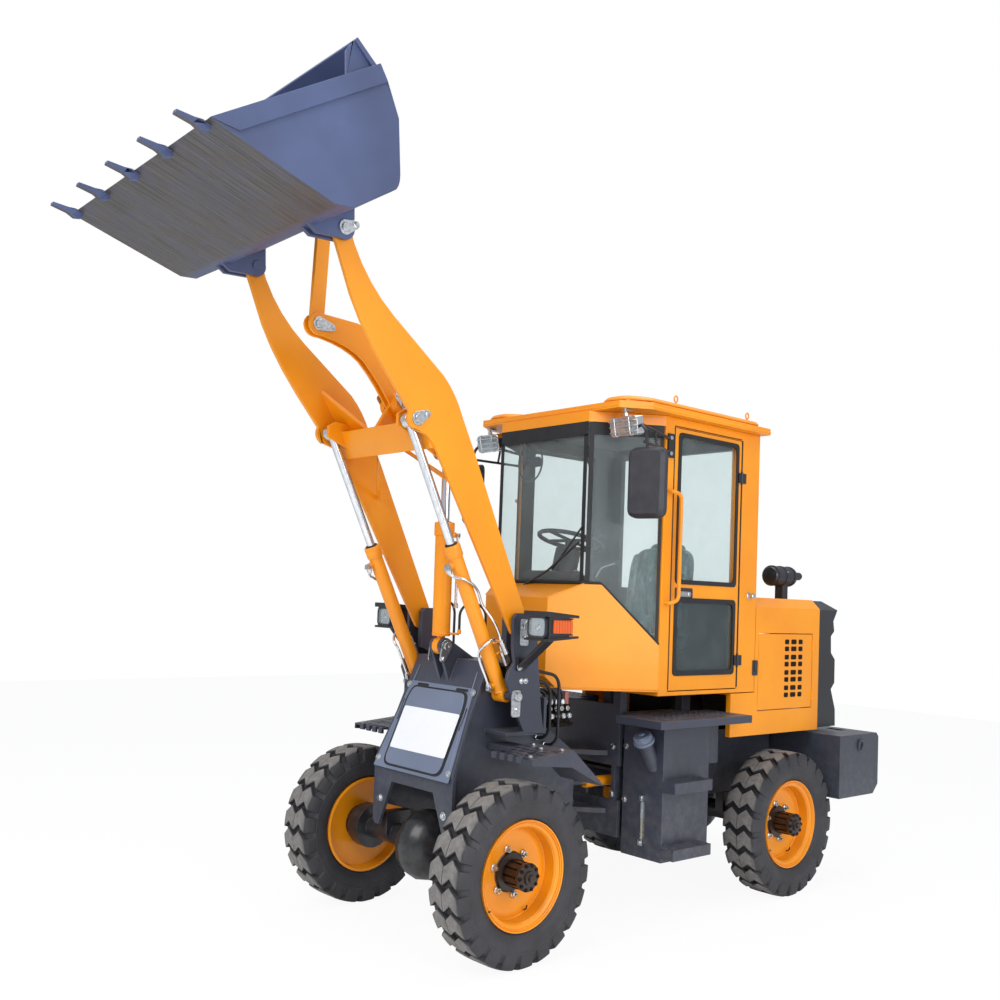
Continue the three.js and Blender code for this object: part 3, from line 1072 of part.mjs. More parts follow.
const arm = body(front, BOOM_PIVOT.x, 0, BOOM_PIVOT.z, 'boom');
piece(arm, 'boom', boom(), YELLOW);
const tip = body(arm, BUCKET_PIVOT.x, 0, BUCKET_PIVOT.z, 'bucket');
piece(tip, 'bucket', bucket(), BLUE_GREY);
const rocking = body(arm, ROCKER_PIVOT.x, 0, ROCKER_PIVOT.z, 'rocker');
piece(rocking, 'rocker', rocker(), YELLOW);
const linking = body(rocking, LINK_PIN.x, 0, LINK_PIN.z, 'link');
piece(linking, 'bucket_link', link(), YELLOW);
const tilting = body(front, TILT_BASE.x, 0, TILT_BASE.z, 'tilt_barrel_hinge');
const tiltBarrel = barrel(TILT_BASE, TILT_PIN, 0, TILT_BARREL_RADIUS, TILT_ROD_RADIUS, TILT_BARREL_LENGTH,
  TILT_EYE_HALF, 21, 52);
const tiltFerrule = ferrule(TILT_FERRULE, TILT_BASE, TILT_PIN, 0, TILT_BARREL_RADIUS - 10, 11);
piece(tilting, 'tilt_barrel', join(tiltBarrel, bothSides(tiltFerrule)), YELLOW);
const tiltRod = body(tilting, TILT_PIN.x, 0, TILT_PIN.z, 'tilt_rod_slide');
piece(tiltRod, 'tilt_rod', rod(TILT_BASE, TILT_PIN, 0, TILT_ROD_RADIUS, 480, 40, FORK_GAP - PIN_GAP, 62),
  CHROME);

// The machine's origin goes to the bottom centre of its bounding box.
const bounds = new THREE.Box3().setFromObject(machine);
const centre = bounds.getCenter(new THREE.Vector3());
machine.position.set(-centre.x, -centre.y, -bounds.min.z);
machine.updateMatrixWorld(true);

export default machine;
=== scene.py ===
"""Looks of an articulated wheel loader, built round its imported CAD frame.

Sizes are millimetres in the machine's own places: X from midway between the axles, Y to its left, Z up from
the ground.  placed() turns them to metres in the frame.
"""

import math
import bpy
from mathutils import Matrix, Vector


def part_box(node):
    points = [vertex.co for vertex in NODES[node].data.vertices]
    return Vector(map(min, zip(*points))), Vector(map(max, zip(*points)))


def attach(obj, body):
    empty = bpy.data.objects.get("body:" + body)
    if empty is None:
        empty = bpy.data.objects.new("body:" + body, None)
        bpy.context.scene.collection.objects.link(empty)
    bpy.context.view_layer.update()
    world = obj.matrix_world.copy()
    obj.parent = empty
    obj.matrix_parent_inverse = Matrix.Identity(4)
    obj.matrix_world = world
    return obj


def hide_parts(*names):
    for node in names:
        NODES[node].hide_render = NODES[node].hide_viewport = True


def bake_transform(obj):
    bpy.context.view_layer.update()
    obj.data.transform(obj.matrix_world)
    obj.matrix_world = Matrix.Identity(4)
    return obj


bl_info = {
    "name": "Wheel Loader Looks",
    "version": (1, 0, 0),
    "blender": (4, 5, 0),
    "location": "3D View > Sidebar > Loader",
    "description": "Tyres, fittings, glass, cab trim and finishes of an articulated wheel loader",
    "category": "Object",
}

import bmesh
import bpy
import numpy as np
from mathutils import Matrix, Vector

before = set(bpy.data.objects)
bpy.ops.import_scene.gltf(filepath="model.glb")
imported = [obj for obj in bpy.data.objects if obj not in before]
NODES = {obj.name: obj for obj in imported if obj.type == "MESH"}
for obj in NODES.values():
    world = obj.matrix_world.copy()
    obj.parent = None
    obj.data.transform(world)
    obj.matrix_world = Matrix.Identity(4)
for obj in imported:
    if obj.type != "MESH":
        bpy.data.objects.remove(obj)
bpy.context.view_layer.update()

SIDES = (("left", 1), ("right", -1))
MM = 0.001
FORWARD, OUT, UP = (1, 0, 0), np.array((0, 1.0, 0)), (0, 0, 1)


def centre_of(node):
    """The middle of a CAD node's box, in metres in the frame."""
    low, high = (np.array(corner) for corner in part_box(node))
    return (low + high) / 2


AXLE_X = {end: centre_of(f"{end}_left_tyre")[0] for end in ("front", "rear")}
MIDDLE_X = (AXLE_X["front"] + AXLE_X["rear"]) / 2 / MM
HALF_BASE = (AXLE_X["front"] - AXLE_X["rear"]) / 2 / MM
AXLE_Z = centre_of("front_left_tyre")[2] / MM
HALF_TRACK = centre_of("front_left_tyre")[1] / MM


def placed(points):
    """Machine millimetres as metres in the frame."""
    return (np.asarray(points, float) + (MIDDLE_X, 0, 0)) * MM


def span(node):
    """A CAD node's lowest and highest corner in machine millimetres."""
    low, high = (np.array(corner) / MM - (MIDDLE_X, 0, 0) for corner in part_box(node))
    return low, high


# ---------------------------------------------------------------- settings
class StageSettings(bpy.types.PropertyGroup):
    """The studio."""

    key: bpy.props.FloatProperty(name="Key light", description="Power of the main soft light", default=330,
                                 unit="POWER")
    fill: bpy.props.FloatProperty(name="Fill light", description="Power of the light from the left side",
                                  default=170, unit="POWER")
    sky: bpy.props.FloatProperty(name="Sky", description="Strength of the even light from all round",
                                 default=0.62)
    distance: bpy.props.FloatProperty(name="Camera distance",
                                      description="From the front axle forward to the camera", default=3.488,
                                      unit="LENGTH")


class WheelSettings(bpy.types.PropertyGroup):
    """The tyres and rims."""

    lugs: bpy.props.IntProperty(name="Lugs", description="Rows of tread blocks round a tyre", default=22)
    depth: bpy.props.FloatProperty(
        name="Tread depth", description="Depth of the tread at the crown", default=0.021, unit="LENGTH")
    studs: bpy.props.IntProperty(name="Wheel studs", description="Nuts that hold a rim", default=6)


class TrimSettings(bpy.types.PropertyGroup):
    """Small fittings."""

    pipe: bpy.props.FloatProperty(name="Pipe", description="Diameter of the plated pipes", default=0.014,
                                  unit="LENGTH")
    seal: bpy.props.FloatProperty(name="Seal", description="Width of the rubber round the glass",
                                  default=0.026, unit="LENGTH")
    softness: bpy.props.FloatProperty(name="Edge softness",
                                      description="Width of the rounding along plate edges", default=0.003,
                                      unit="LENGTH")


# ---------------------------------------------------------------- surfaces
def grid(points, wrap_u=False, wrap_v=False):
    """A surface r(u, v) given as an array of rows, joined into four-cornered faces."""
    points = np.asarray(points, float)
    rows, columns = points.shape[:2]
    u = np.arange(rows if wrap_u else rows - 1)
    v = np.arange(columns if wrap_v else columns - 1)
    uu, vv = (part.ravel() for part in np.meshgrid(u, v, indexing="ij"))
    u1, v1 = (uu + 1) % rows, (vv + 1) % columns
    corners = np.stack([uu * columns + vv, u1 * columns + vv, u1 * columns + v1, uu * columns + v1], 1)
    return points.reshape(-1, 3), corners.tolist()


def merged(*shapes):
    """Several shapes as one."""
    points, faces, start = [], [], 0
    for some, corners in shapes:
        points.append(np.asarray(some, float))
        faces += [[index + start for index in corner] for corner in corners]
        start += len(some)
    return np.concatenate(points), faces


def flipped(shape):
    """The same shape on the other side of the machine: y becomes -y, and each face is turned round."""
    points, faces = shape
    return points * (1, -1, 1), [corner[::-1] for corner in faces]


def both_sides(shape):
    """A shape and its mirror image."""
    return merged(shape, flipped(shape))


def on_side(shape, side):
    """A left-hand shape for side 1, and its mirror image for side -1."""
    return shape if side > 0 else flipped(shape)


def basis(direction):
    """Two directions square to the given one and to each other, right-handed with it."""
    d = np.asarray(direction, float)
    d = d / np.linalg.norm(d)
    helper = np.array((0, 0, 1.0)) if abs(d[2]) < 0.9 else np.array((1.0, 0, 0))
    a = np.cross(helper, d)
    a /= np.linalg.norm(a)
    return d, a, np.cross(d, a)


def turned(profile, base, direction, sides=24):
    """A turned part: profile rows are (height along the axis, radius), and each is carried round the axis,
    r(t, a) = base + h(t) d + q(t) (cos a n + sin a m)."""
    d, n, m = basis(direction)
    h, q = np.asarray(profile, float).T
    a = np.linspace(0, 2 * np.pi, sides, endpoint=False)
    away = np.cos(a)[:, None] * n + np.sin(a)[:, None] * m
    points = np.asarray(base, float) + h[:, None, None] * d + q[:, None, None] * away
    rows = len(h)
    shape = grid(points, wrap_v=True)
    faces = [corner[::-1] for corner in shape[1]]
    if q[0] > 1e-6:
        faces.append(list(range(sides))[::-1])
    if q[-1] > 1e-6:
        faces.append([(rows - 1) * sides + index for index in range(sides)])
    return shape[0], faces


def ring(profile, base, direction, sides=36):
    """A closed ring turned about an axis: the profile is a loop of (along, radius)."""
    d, n, m = basis(direction)
    h, r = np.array(profile, float).T
    a = np.linspace(0, 2 * np.pi, sides, endpoint=False)
    points = np.asarray(base, float) + h[:, None, None] * d + r[:, None, None] * (
        np.cos(a)[:, None] * n + np.sin(a)[:, None] * m)
    return grid(points, wrap_u=True, wrap_v=True)


def rounded_path(points, radius, steps=5):
    """A path through corner points, each corner replaced by a quadratic arc that starts radius before it."""
    points = np.asarray(points, float)
    before = points[:-2] - points[1:-1]
    after = points[2:] - points[1:-1]
    reach = np.minimum(np.linalg.norm(before, axis=1), np.linalg.norm(after, axis=1)) * 0.48
    reach = np.minimum(reach, radius)[:, None]
    start = points[1:-1] + before / np.linalg.norm(before, axis=1)[:, None] * reach
    end = points[1:-1] + after / np.linalg.norm(after, axis=1)[:, None] * reach
    t = np.linspace(0, 1, steps)[None, :, None]
    arcs = (1 - t) ** 2 * start[:, None] + 2 * t * (1 - t) * points[1:-1, None] + t**2 * end[:, None]
    return np.concatenate([points[:1], arcs.reshape(-1, 3), points[-1:]])


def along_curve(points, per_span=6):
    """A smooth curve through points: a centripetal Catmull-Rom spline, in which the knot spacing is the
    square root of the chord, with each end carried on straight."""
    p = np.asarray(points, float)
    p = np.concatenate([[2 * p[0] - p[1]], p, [2 * p[-1] - p[-2]]])
    chord = np.sqrt(np.linalg.norm(np.diff(p, axis=0), axis=1))
    d0, d1, d2 = (c[:, None] for c in (chord[:-2], chord[1:-1], chord[2:]))
    p0, p1, p2, p3 = p[:-3], p[1:-2], p[2:-1], p[3:]
    m1 = ((p1 - p0) / d0 - (p2 - p0) / (d0 + d1) + (p2 - p1) / d1) * d1
    m2 = ((p2 - p1) / d1 - (p3 - p1) / (d1 + d2) + (p3 - p2) / d2) * d1
    t = (np.arange(per_span) / per_span)[None, :, None]
    p1, p2, m1, m2 = (part[:, None] for part in (p1, p2, m1, m2))
    curve = p1 + m1 * t + (3 * (p2 - p1) - 2 * m1 - m2) * t**2 + (2 * (p1 - p2) + m1 + m2) * t**3
    return np.concatenate([curve.reshape(-1, 3), p[-2:-1]])


def carried(path, section, closed=False):
    """A section carried along a path: r(s, k) = p(s) + x(k) n(s) + y(k) m(s), where n and m are turned from
    each point to the next without twist.  An open path gets flat ends."""
    path = np.asarray(path, float)
    section = np.asarray(section, float)
    if closed:
        step = np.roll(path, -1, 0) - np.roll(path, 1, 0)
    else:
        step = np.gradient(path, axis=0)
    step /= np.linalg.norm(step, axis=1)[:, None]
    normals = [basis(step[0])[1]]
    for i in range(1, len(path)):
        n = normals[-1] - np.dot(normals[-1], step[i]) * step[i]
        normals.append(n / np.linalg.norm(n))
    n = np.array(normals)
    m = np.cross(step, n)
    points = path[:, None] + section[None, :, :1] * n[:, None] + section[None, :, 1:] * m[:, None]
    shape = grid(points, wrap_u=closed, wrap_v=True)
    faces = [corner[::-1] for corner in shape[1]]
    count = len(section)
    if not closed:
        faces.append(list(range(count))[::-1])
        faces.append([(len(path) - 1) * count + index for index in range(count)])
    return shape[0], faces


def circle(radius, sides=12, squeeze=1.0):
    """A round section, or an oval one."""
    a = np.linspace(0, 2 * np.pi, sides, endpoint=False)
    return np.stack([radius * np.cos(a), radius * squeeze * np.sin(a)], 1)


def bar(path, radius, sides=12, bend=0):
    """A round bar along corner points, bent with the given radius."""
    path = rounded_path(path, bend) if bend and len(path) > 2 else np.asarray(path, float)
    return carried(path, circle(radius, sides))


def rounded_outline(corners, radius, steps=4):
    """A closed outline in its plane, with each corner replaced by a quadratic arc."""
    corners = np.asarray(corners, float)
    before, after = np.roll(corners, 1, 0) - corners, np.roll(corners, -1, 0) - corners
    lengths = np.minimum(np.linalg.norm(before, axis=1), np.linalg.norm(after, axis=1)) * 0.48
    reach = np.minimum(lengths, radius)[:, None]
    start = corners + before / np.linalg.norm(before, axis=1)[:, None] * reach
    end = corners + after / np.linalg.norm(after, axis=1)[:, None] * reach
    t = np.linspace(0, 1, steps)[None, :, None]
    arcs = (1 - t) ** 2 * start[:, None] + 2 * t * (1 - t) * corners[:, None] + t**2 * end[:, None]
    return arcs.reshape(-1, 2)


def slab(outline, origin, across, up, thickness, edge=0.0):
    """A flat plate: the outline's two values run along across and up from origin, and its thickness grows
    along across x up. edge cuts a small slope round the outer face, drawn in towards the outline's middle."""
    outline = np.asarray(outline, float)
    x, y = np.roll(outline, -1, 0).T
    area = np.sum(outline[:, 0] * y - x * outline[:, 1])
    outline = outline if area > 0 else outline[::-1]
    a = np.asarray(across, float) / np.linalg.norm(across)
    b = np.asarray(up, float) - np.dot(up, a) * a
    b /= np.linalg.norm(b)
    c = np.cross(a, b)
    rows = [(outline, 0.0)]
    if edge:
        before = outline - np.roll(outline, 1, 0)
        after = np.roll(outline, -1, 0) - outline
        normal = before / np.maximum(np.linalg.norm(before, axis=1), 1e-9)[:, None]
        normal = normal + after / np.maximum(np.linalg.norm(after, axis=1), 1e-9)[:, None]
        normal = np.stack([-normal[:, 1], normal[:, 0]], 1)
        normal /= np.maximum(np.linalg.norm(normal, axis=1), 1e-9)[:, None]
        rows += [(outline, thickness - edge), (outline + normal * edge, thickness)]
    else:
        rows += [(outline, thickness)]
    points = [np.asarray(origin, float) + line[:, :1] * a + line[:, 1:] * b + high * c for line, high in rows]
    shape = grid(np.array(points), wrap_v=True)
    faces = [corner[::-1] for corner in shape[1]]
    count = len(outline)
    faces.append(list(range(count))[::-1])
    faces.append([(len(rows) - 1) * count + index for index in range(count)])
    return shape[0], faces


def ring_slab(outer, inner, origin, across, up, thickness):
    """A flat frame between two outlines with the same number of points."""
    a = np.asarray(across, float) / np.linalg.norm(across)
    b = np.asarray(up, float) - np.dot(up, a) * a
    b /= np.linalg.norm(b)
    c = np.cross(a, b)
    loops = [(outer, 0), (outer, thickness), (inner, thickness), (inner, 0)]
    points = [np.asarray(origin, float) + np.asarray(line)[:, :1] * a + np.asarray(line)[:, 1:] * b + high * c
              for line, high in loops]
    shape = grid(np.array(points), wrap_u=True, wrap_v=True)
    return shape[0], [corner[::-1] for corner in shape[1]]


def side_plate(outline, y, thickness, edge=0.0):
    """A plate on the machine's left side, y out from its middle; the outline's values run up and forward."""
    return slab(outline, (0, y, 0), UP, FORWARD, thickness, edge)


def rectangle(width, height, x=0.0, y=0.0):
    """Four corners round a middle point."""
    return np.array([[x - width / 2, y - height / 2], [x + width / 2, y - height / 2],
                     [x + width / 2, y + height / 2], [x - width / 2, y + height / 2]])


def block(low, high, edge=0.0):
    """A squared block between two corners, made as a plate with a sloped upper edge."""
    low, high = np.asarray(low, float), np.asarray(high, float)
    size = high - low
    return slab(rectangle(size[0], size[1], size[0] / 2, size[1] / 2), low, (1, 0, 0), (0, 1, 0), size[2],
                edge)


def bolt(centre, direction, across=19.0, height=9.0, washer=True):
    """A hexagon head with a chamfered top on a washer."""
    radius = across / math.sqrt(3)
    head = turned([(0, radius), (height * 0.75, radius), (height, radius * 0.82), (height, 0.0)], centre,
                  direction, 6)
    if not washer:
        return head
    disc = turned([(0, radius * 1.35), (1.6, radius * 1.35), (2.2, radius * 1.2), (2.2, 0.0)], centre,
                  direction, 16)
    return merged(disc, head)


def bolts(centres, direction, across=19.0, height=9.0):
    """A bolt at each centre."""
    return merged(*(bolt(centre, direction, across, height) for centre in centres))


# ---------------------------------------------------------------- pieces
# FINISH holds the looks by name and is filled by mix_finishes.  SHARP is the angle in degrees past which an
# edge of a CAD node stays sharp.  SLOTS gives the looks that stand for each of the frame's materials.
FINISH = {}
SHARP = 30.0
SLOTS = {
    "yellow_paint": ("yellow",),
    "slate_paint": ("face", "white", "slate"),
    "tyre_rubber": ("tyre", "rubber", "hose"),
    "black_plastic": ("black", "plastic", "orange", "red"),
    "chrome_rod": ("chrome", "zinc", "brass"),
    "cast_metal": ("iron", "hub", "primer"),
    "tinted_glass": ("tinted", "lens"),
    "seat_vinyl": ("cloth",),
}


def piece(name, shape, finish, body, crease=32.0, soft=0.0, slot=None):
    """Puts a shape into a mesh of its own, gives it a finish, and lets it ride on a body. crease is the angle
    in degrees past which an edge stays sharp, soft the width of an edge rounding in metres, and slot the
    frame's material where it isn't the finish's usual one; slot is worked out but not used."""
    points, faces = shape
    mesh = bpy.data.meshes.new(name)
    mesh.from_pydata(placed(points).tolist(), [], faces)
    tidy(mesh)
    made = bpy.data.objects.new(name, mesh)
    bpy.context.scene.collection.objects.link(made)
    mesh.materials.append(FINISH[finish])
    mesh.polygons.foreach_set("use_smooth", np.ones(len(mesh.polygons), bool))
    mesh.set_sharp_from_angle(angle=math.radians(crease))
    if soft:
        rounded_edges(made, soft, 35)
    slot = slot or next(key for key, finishes in SLOTS.items() if finish in finishes)
    if body:
        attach(made, body)
    return made


def rounded_edges(made, width, angle):
    """Rounds edges whose faces meet at more than an angle in degrees, to a width in metres."""
    rounding = made.modifiers.new("Rounded edges", "BEVEL")
    rounding.width = width
    rounding.segments = 2
    rounding.limit_method = "ANGLE"
    rounding.angle_limit = math.radians(angle)
    rounding.harden_normals = True
    return rounding


def tidy(mesh):
    """Joins points that coincide, and turns every closed shell's faces outward."""
    work = bmesh.new()
    work.from_mesh(mesh)
    bmesh.ops.remove_doubles(work, verts=work.verts, dist=1e-6)
    bmesh.ops.recalc_face_normals(work, faces=work.faces)
    work.to_mesh(mesh)
    work.free()


def softened(node, material, width):
    """Finishes a CAD node: its points are joined, its flat areas made whole, its edges rounded by width, and
    its round parts shaded smooth.  All of it is modifiers, so the node's own mesh stays as it came."""
    node.data.materials.clear()
    node.data.materials.append(material)
    weld = node.modifiers.new("Joined points", "WELD")
    weld.merge_threshold = 1e-5
    flat = node.modifiers.new("Whole flats", "DECIMATE")
    flat.decimate_type = "DISSOLVE"
    flat.angle_limit = math.radians(0.6)
    smooth = node.modifiers.new("Smooth rounds", "NODES")
    smooth.node_group = smooth_rounds()
    if width:
        rounded_edges(node, width, SHARP).use_clamp_overlap = False


def smooth_rounds():
    """Shades every face smooth and keeps an edge sharp where its faces meet at more than SHARP degrees."""
    name = "Smooth rounds"
    if name in bpy.data.node_groups:
        return bpy.data.node_groups[name]
    group = bpy.data.node_groups.new(name, "GeometryNodeTree")
    group.interface.new_socket("Geometry", in_out="INPUT", socket_type="NodeSocketGeometry")
    group.interface.new_socket("Geometry", in_out="OUTPUT", socket_type="NodeSocketGeometry")
    given = add(group, "NodeGroupInput")
    angle = add(group, "GeometryNodeInputMeshEdgeAngle")
    sharp = add(group, "FunctionNodeCompare", {0: angle.outputs[0], 1: math.radians(SHARP)},
                operation="GREATER_THAN")
    smooth = add(group, "GeometryNodeSetShadeSmooth", {"Geometry": given.outputs[0]})
    edges = add(group, "GeometryNodeSetShadeSmooth", {
        "Geometry": smooth.outputs[0], "Selection": sharp.outputs[0], "Shade Smooth": False}, domain="EDGE")
    add(group, "NodeGroupOutput", {0: edges.outputs[0]})
    return group


# ---------------------------------------------------------------- finishes
def linear(code, alpha=1.0):
    """An sRGB hex colour as linear light: c / 12.92 below 0.04045, else ((c + 0.055) / 1.055) to the 2.4."""
    values = np.array([int(code[i:i + 2], 16) for i in (1, 3, 5)]) / 255
    return (*np.where(values <= 0.04045, values / 12.92, ((values + 0.055) / 1.055) ** 2.4), alpha)


def add(tree, kind, inputs=None, stops=None, **settings):
    """Adds a node: settings are its own properties, inputs its sockets' values or the outputs linked to them,
    and stops a colour ramp's (place, colour) pairs."""
    made = tree.nodes.new(kind)
    for name, value in settings.items():
        setattr(made, name, value)
    if stops:
        elements = made.color_ramp.elements
        for element, (place, colour) in zip(elements, stops):
            element.position = place
            element.color = colour
        for place, colour in stops[2:]:
            elements.new(place).color = colour
    for key, value in (inputs or {}).items():
        if isinstance(value, bpy.types.NodeSocket):
            tree.links.new(value, made.inputs[key])
        else:
            made.inputs[key].default_value = value
    return made


BLACK, WHITE = (0, 0, 0, 1), (1, 1, 1, 1)


def new_finish(name, **sockets):
    """A material with one Principled surface, whose plain values are given by socket name."""
    material = bpy.data.materials.new(name)
    material.use_nodes = True
    tree = material.node_tree
    tree.nodes.clear()
    surface = add(tree, "ShaderNodeBsdfPrincipled",
                  {key.replace("_", " "): value for key, value in sockets.items()})
    add(tree, "ShaderNodeOutputMaterial", {"Surface": surface.outputs[0]})
    place = add(tree, "ShaderNodeTexCoord")
    return material, tree, surface, place


def clouds(tree, place, size, detail=4.0, rough=0.55, stretch=None):
    """Noise with a grain of the given size in metres, stretched along each axis where asked."""
    source = place.outputs["Object"]
    if stretch:
        source = add(tree, "ShaderNodeMapping", {"Vector": source, "Scale": stretch}).outputs[0]
    return add(tree, "ShaderNodeTexNoise", {
        "Vector": source, "Scale": 1 / size, "Detail": detail, "Roughness": rough}).outputs["Fac"]


def ramp(tree, value, low, high, a=BLACK, b=WHITE):
    """A value spread between two colours."""
    return add(tree, "ShaderNodeValToRGB", {"Fac": value}, stops=[(low, a), (high, b)]).outputs["Color"]


def blend_colour(tree, share, a, b, mode="MIX"):
    """Two colours mixed by a share from 0 to 1."""
    made = add(tree, "ShaderNodeMix", {"Factor": share}, data_type="RGBA", blend_type=mode)
    colours = [socket for socket in made.inputs if socket.type == "RGBA"]
    for socket, value in zip(colours, (a, b)):
        if isinstance(value, bpy.types.NodeSocket):
            tree.links.new(value, socket)
        else:
            socket.default_value = value
    return next(socket for socket in made.outputs if socket.type == "RGBA")


def spread(tree, value, low, high, top=1.0):
    """A value's range from low to high, spread from 0 to top."""
    return add(tree, "ShaderNodeMapRange", {0: value, 1: low, 2: high, 3: 0.0, 4: top}).outputs[0]


def surfaced(tree, surface, height, strength, depth, colour, roughness=None):
    """Feeds a finish its colour, its roughness where that varies, and a bump from height, depth metres
    deep."""
    tree.links.new(colour, surface.inputs["Base Color"])
    if roughness is not None:
        tree.links.new(roughness, surface.inputs["Roughness"])
    bump = add(tree, "ShaderNodeBump", {"Height": height, "Strength": strength, "Distance": depth})
    tree.links.new(bump.outputs[0], surface.inputs["Normal"])


def number(tree, operation, a, b=0.0, c=0.0):
    """One step of arithmetic."""
    return add(tree, "ShaderNodeMath", {0: a, 1: b, 2: c}, operation=operation).outputs[0]


def enamel(name, colour, shade, rough, dust=0.25, grain=0.012, coat=0.0, inner_shade_box=None):
    """Sprayed two-pack enamel on steel: even colour that drifts slightly in tone from panel to panel, a fine
    orange-peel surface, and thin road dust low down and on faces that look up. The last argument is a box
    inside which the faces that turn inward get painted shade: their colour is darkened to near black."""
    material, tree, surface, place = new_finish(name, Coat_Weight=coat, Coat_Roughness=0.08)
    drift = ramp(tree, clouds(tree, place, 0.45, 3), 0.35, 0.68, linear(shade), linear(colour))
    mottle = blend_colour(tree, number(tree, "MULTIPLY", clouds(tree, place, 0.03, 5), 0.10), drift,
                          linear(shade))
    split = add(tree, "ShaderNodeSeparateXYZ", {"Vector": place.outputs["Normal"]})
    upward = spread(tree, split.outputs["Z"], 0.35, 1.0, dust)
    patchy = number(tree, "MULTIPLY", upward, ramp(tree, clouds(tree, place, 0.09, 6, 0.65), 0.38, 0.7))
    height = add(tree, "ShaderNodeSeparateXYZ", {"Vector": place.outputs["Object"]}).outputs["Z"]
    low = spread(tree, height, 1.1, 0.3, dust * 0.7)
    splash = number(tree, "MULTIPLY", low, ramp(tree, clouds(tree, place, 0.05, 7, 0.7), 0.42, 0.66))
    dusty = number(tree, "MAXIMUM", patchy, splash)
    base = blend_colour(tree, dusty, mottle, linear("#a39c90"))
    roughness = number(tree, "MULTIPLY_ADD", clouds(tree, place, 0.02, 4), 0.14, rough - 0.07)
    roughness = number(tree, "MULTIPLY_ADD", dusty, 0.35, roughness)
    # Painted shade: faces inside the box that turn toward its middle are darkened to near black, as the
    # inside of the cab in shade.
    if inner_shade_box is not None:
        base = blend_colour(tree, inside_box(tree, place, *inner_shade_box), base, linear("#26282c"))
    surfaced(tree, surface, clouds(tree, place, grain, 2), 0.06, 0.002, base, roughness)
    return material


def inside_box(tree, place, low, high):
    """1 on faces inside a box given in metres that turn toward its middle, and 0 elsewhere."""
    axes = add(tree, "ShaderNodeSeparateXYZ", {"Vector": place.outputs["Object"]})
    share = 1.0
    for axis, (least, most) in zip(axes.outputs, zip(low, high)):
        share = number(tree, "MULTIPLY", number(tree, "GREATER_THAN", axis, least), share)
        share = number(tree, "MULTIPLY", number(tree, "LESS_THAN", axis, most), share)
    middle = ((np.array(low) + high) / 2).tolist()
    outward = add(tree, "ShaderNodeVectorMath", {0: place.outputs["Object"], 1: middle}, operation="SUBTRACT")
    facing = add(tree, "ShaderNodeVectorMath", {0: place.outputs["Normal"], 1: outward.outputs["Vector"]},
                 operation="DOT_PRODUCT")
    return number(tree, "MULTIPLY", number(tree, "LESS_THAN", facing.outputs["Value"], 0.0), share)


def bucket_steel():
    """Blue-grey enamel on rolled plate.  The bucket floor's underside and cutting edge have been dragged over
    ground, so their paint is gone and the steel shows long brushed scratches from heel to lip."""
    material, tree, surface, place = new_finish("blue_grey_enamel_worn")
    paint = ramp(tree, clouds(tree, place, 0.5, 3), 0.3, 0.7, linear("#3f4a6c"), linear("#4f5c84"))
    fine = blend_colour(tree, number(tree, "MULTIPLY", clouds(tree, place, 0.04, 6), 0.16), paint,
                        linear("#2c3248"))
    # The floor runs 570 forward for 175 up, and these are its own directions in the XZ plane.
    lip = np.array((570.0, 0, 175.0)) / math.hypot(570, 175)
    down = (lip[2], 0, -lip[0])
    facing = add(tree, "ShaderNodeVectorMath", {0: place.outputs["Normal"], 1: down}, operation="DOT_PRODUCT")
    floor = spread(tree, facing.outputs["Value"], 0.93, 0.985)
    turn = add(tree, "ShaderNodeMapping", {
        "Vector": place.outputs["Object"], "Rotation": (0, math.atan2(lip[2], lip[0]), 0)})
    drag = add(tree, "ShaderNodeTexNoise",
               {"Vector": add(tree, "ShaderNodeMapping",
                              {"Vector": turn.outputs[0], "Scale": (1.6, 60, 1)}).outputs[0], "Scale": 2.2,
                "Detail": 7.0, "Roughness": 0.7}).outputs["Fac"]
    steel = ramp(tree, drag, 0.34, 0.68, linear("#3c3b3d"), linear("#77736f"))
    # Brownish patches mixed into the bare steel.
    brown_patches = ramp(tree, clouds(tree, place, 0.16, 6, 0.6), 0.5, 0.78)
    steel = blend_colour(tree, number(tree, "MULTIPLY", brown_patches, 0.35), steel, linear("#5e5346"))
    edge = ramp(tree, clouds(tree, place, 0.12, 7, 0.7), 0.36, 0.5)
    bare = number(tree, "MULTIPLY", floor, number(tree, "MAXIMUM", edge, 0.8))
    base = blend_colour(tree, bare, fine, steel)
    tree.links.new(number(tree, "MULTIPLY", bare, 0.55), surface.inputs["Metallic"])
    roughness = number(tree, "MULTIPLY_ADD", drag, 0.2, 0.33)
    surfaced(tree, surface, number(tree, "MULTIPLY", drag, bare), 0.35, 0.004, base, roughness)
    return material


def tyre_rubber():
    """Moulded carbon-black rubber: dull, slightly blue-grey, with grey-brown ground dust on the tread blocks'
    faces, which have been rolled on, and darker, near black, in the grooves."""
    material, tree, surface, place = new_finish("moulded_tyre_rubber")
    wheel_radius = add(tree, "ShaderNodeAttribute", attribute_name="radius").outputs["Fac"]
    tread = spread(tree, wheel_radius, 0.424, 0.4315)
    side = ramp(tree, clouds(tree, place, 0.12, 5), 0.3, 0.7, linear("#29292d"), linear("#38383d"))
    block_face = ramp(tree, clouds(tree, place, 0.03, 7, 0.7), 0.3, 0.72, linear("#625f5c"),
                      linear("#868380"))
    groove = add(tree, "ShaderNodeAttribute", attribute_name="groove").outputs["Fac"]
    base = blend_colour(tree, tread, side, block_face)
    # The grooves are darkened toward near black.
    base = blend_colour(tree, number(tree, "MULTIPLY", groove, 0.75), base, linear("#1b1b1e"))
    roughness = number(tree, "MULTIPLY_ADD", clouds(tree, place, 0.01, 3), 0.2, 0.5)
    surfaced(tree, surface, clouds(tree, place, 0.006, 4), 0.18, 0.001, base, roughness)
    return material


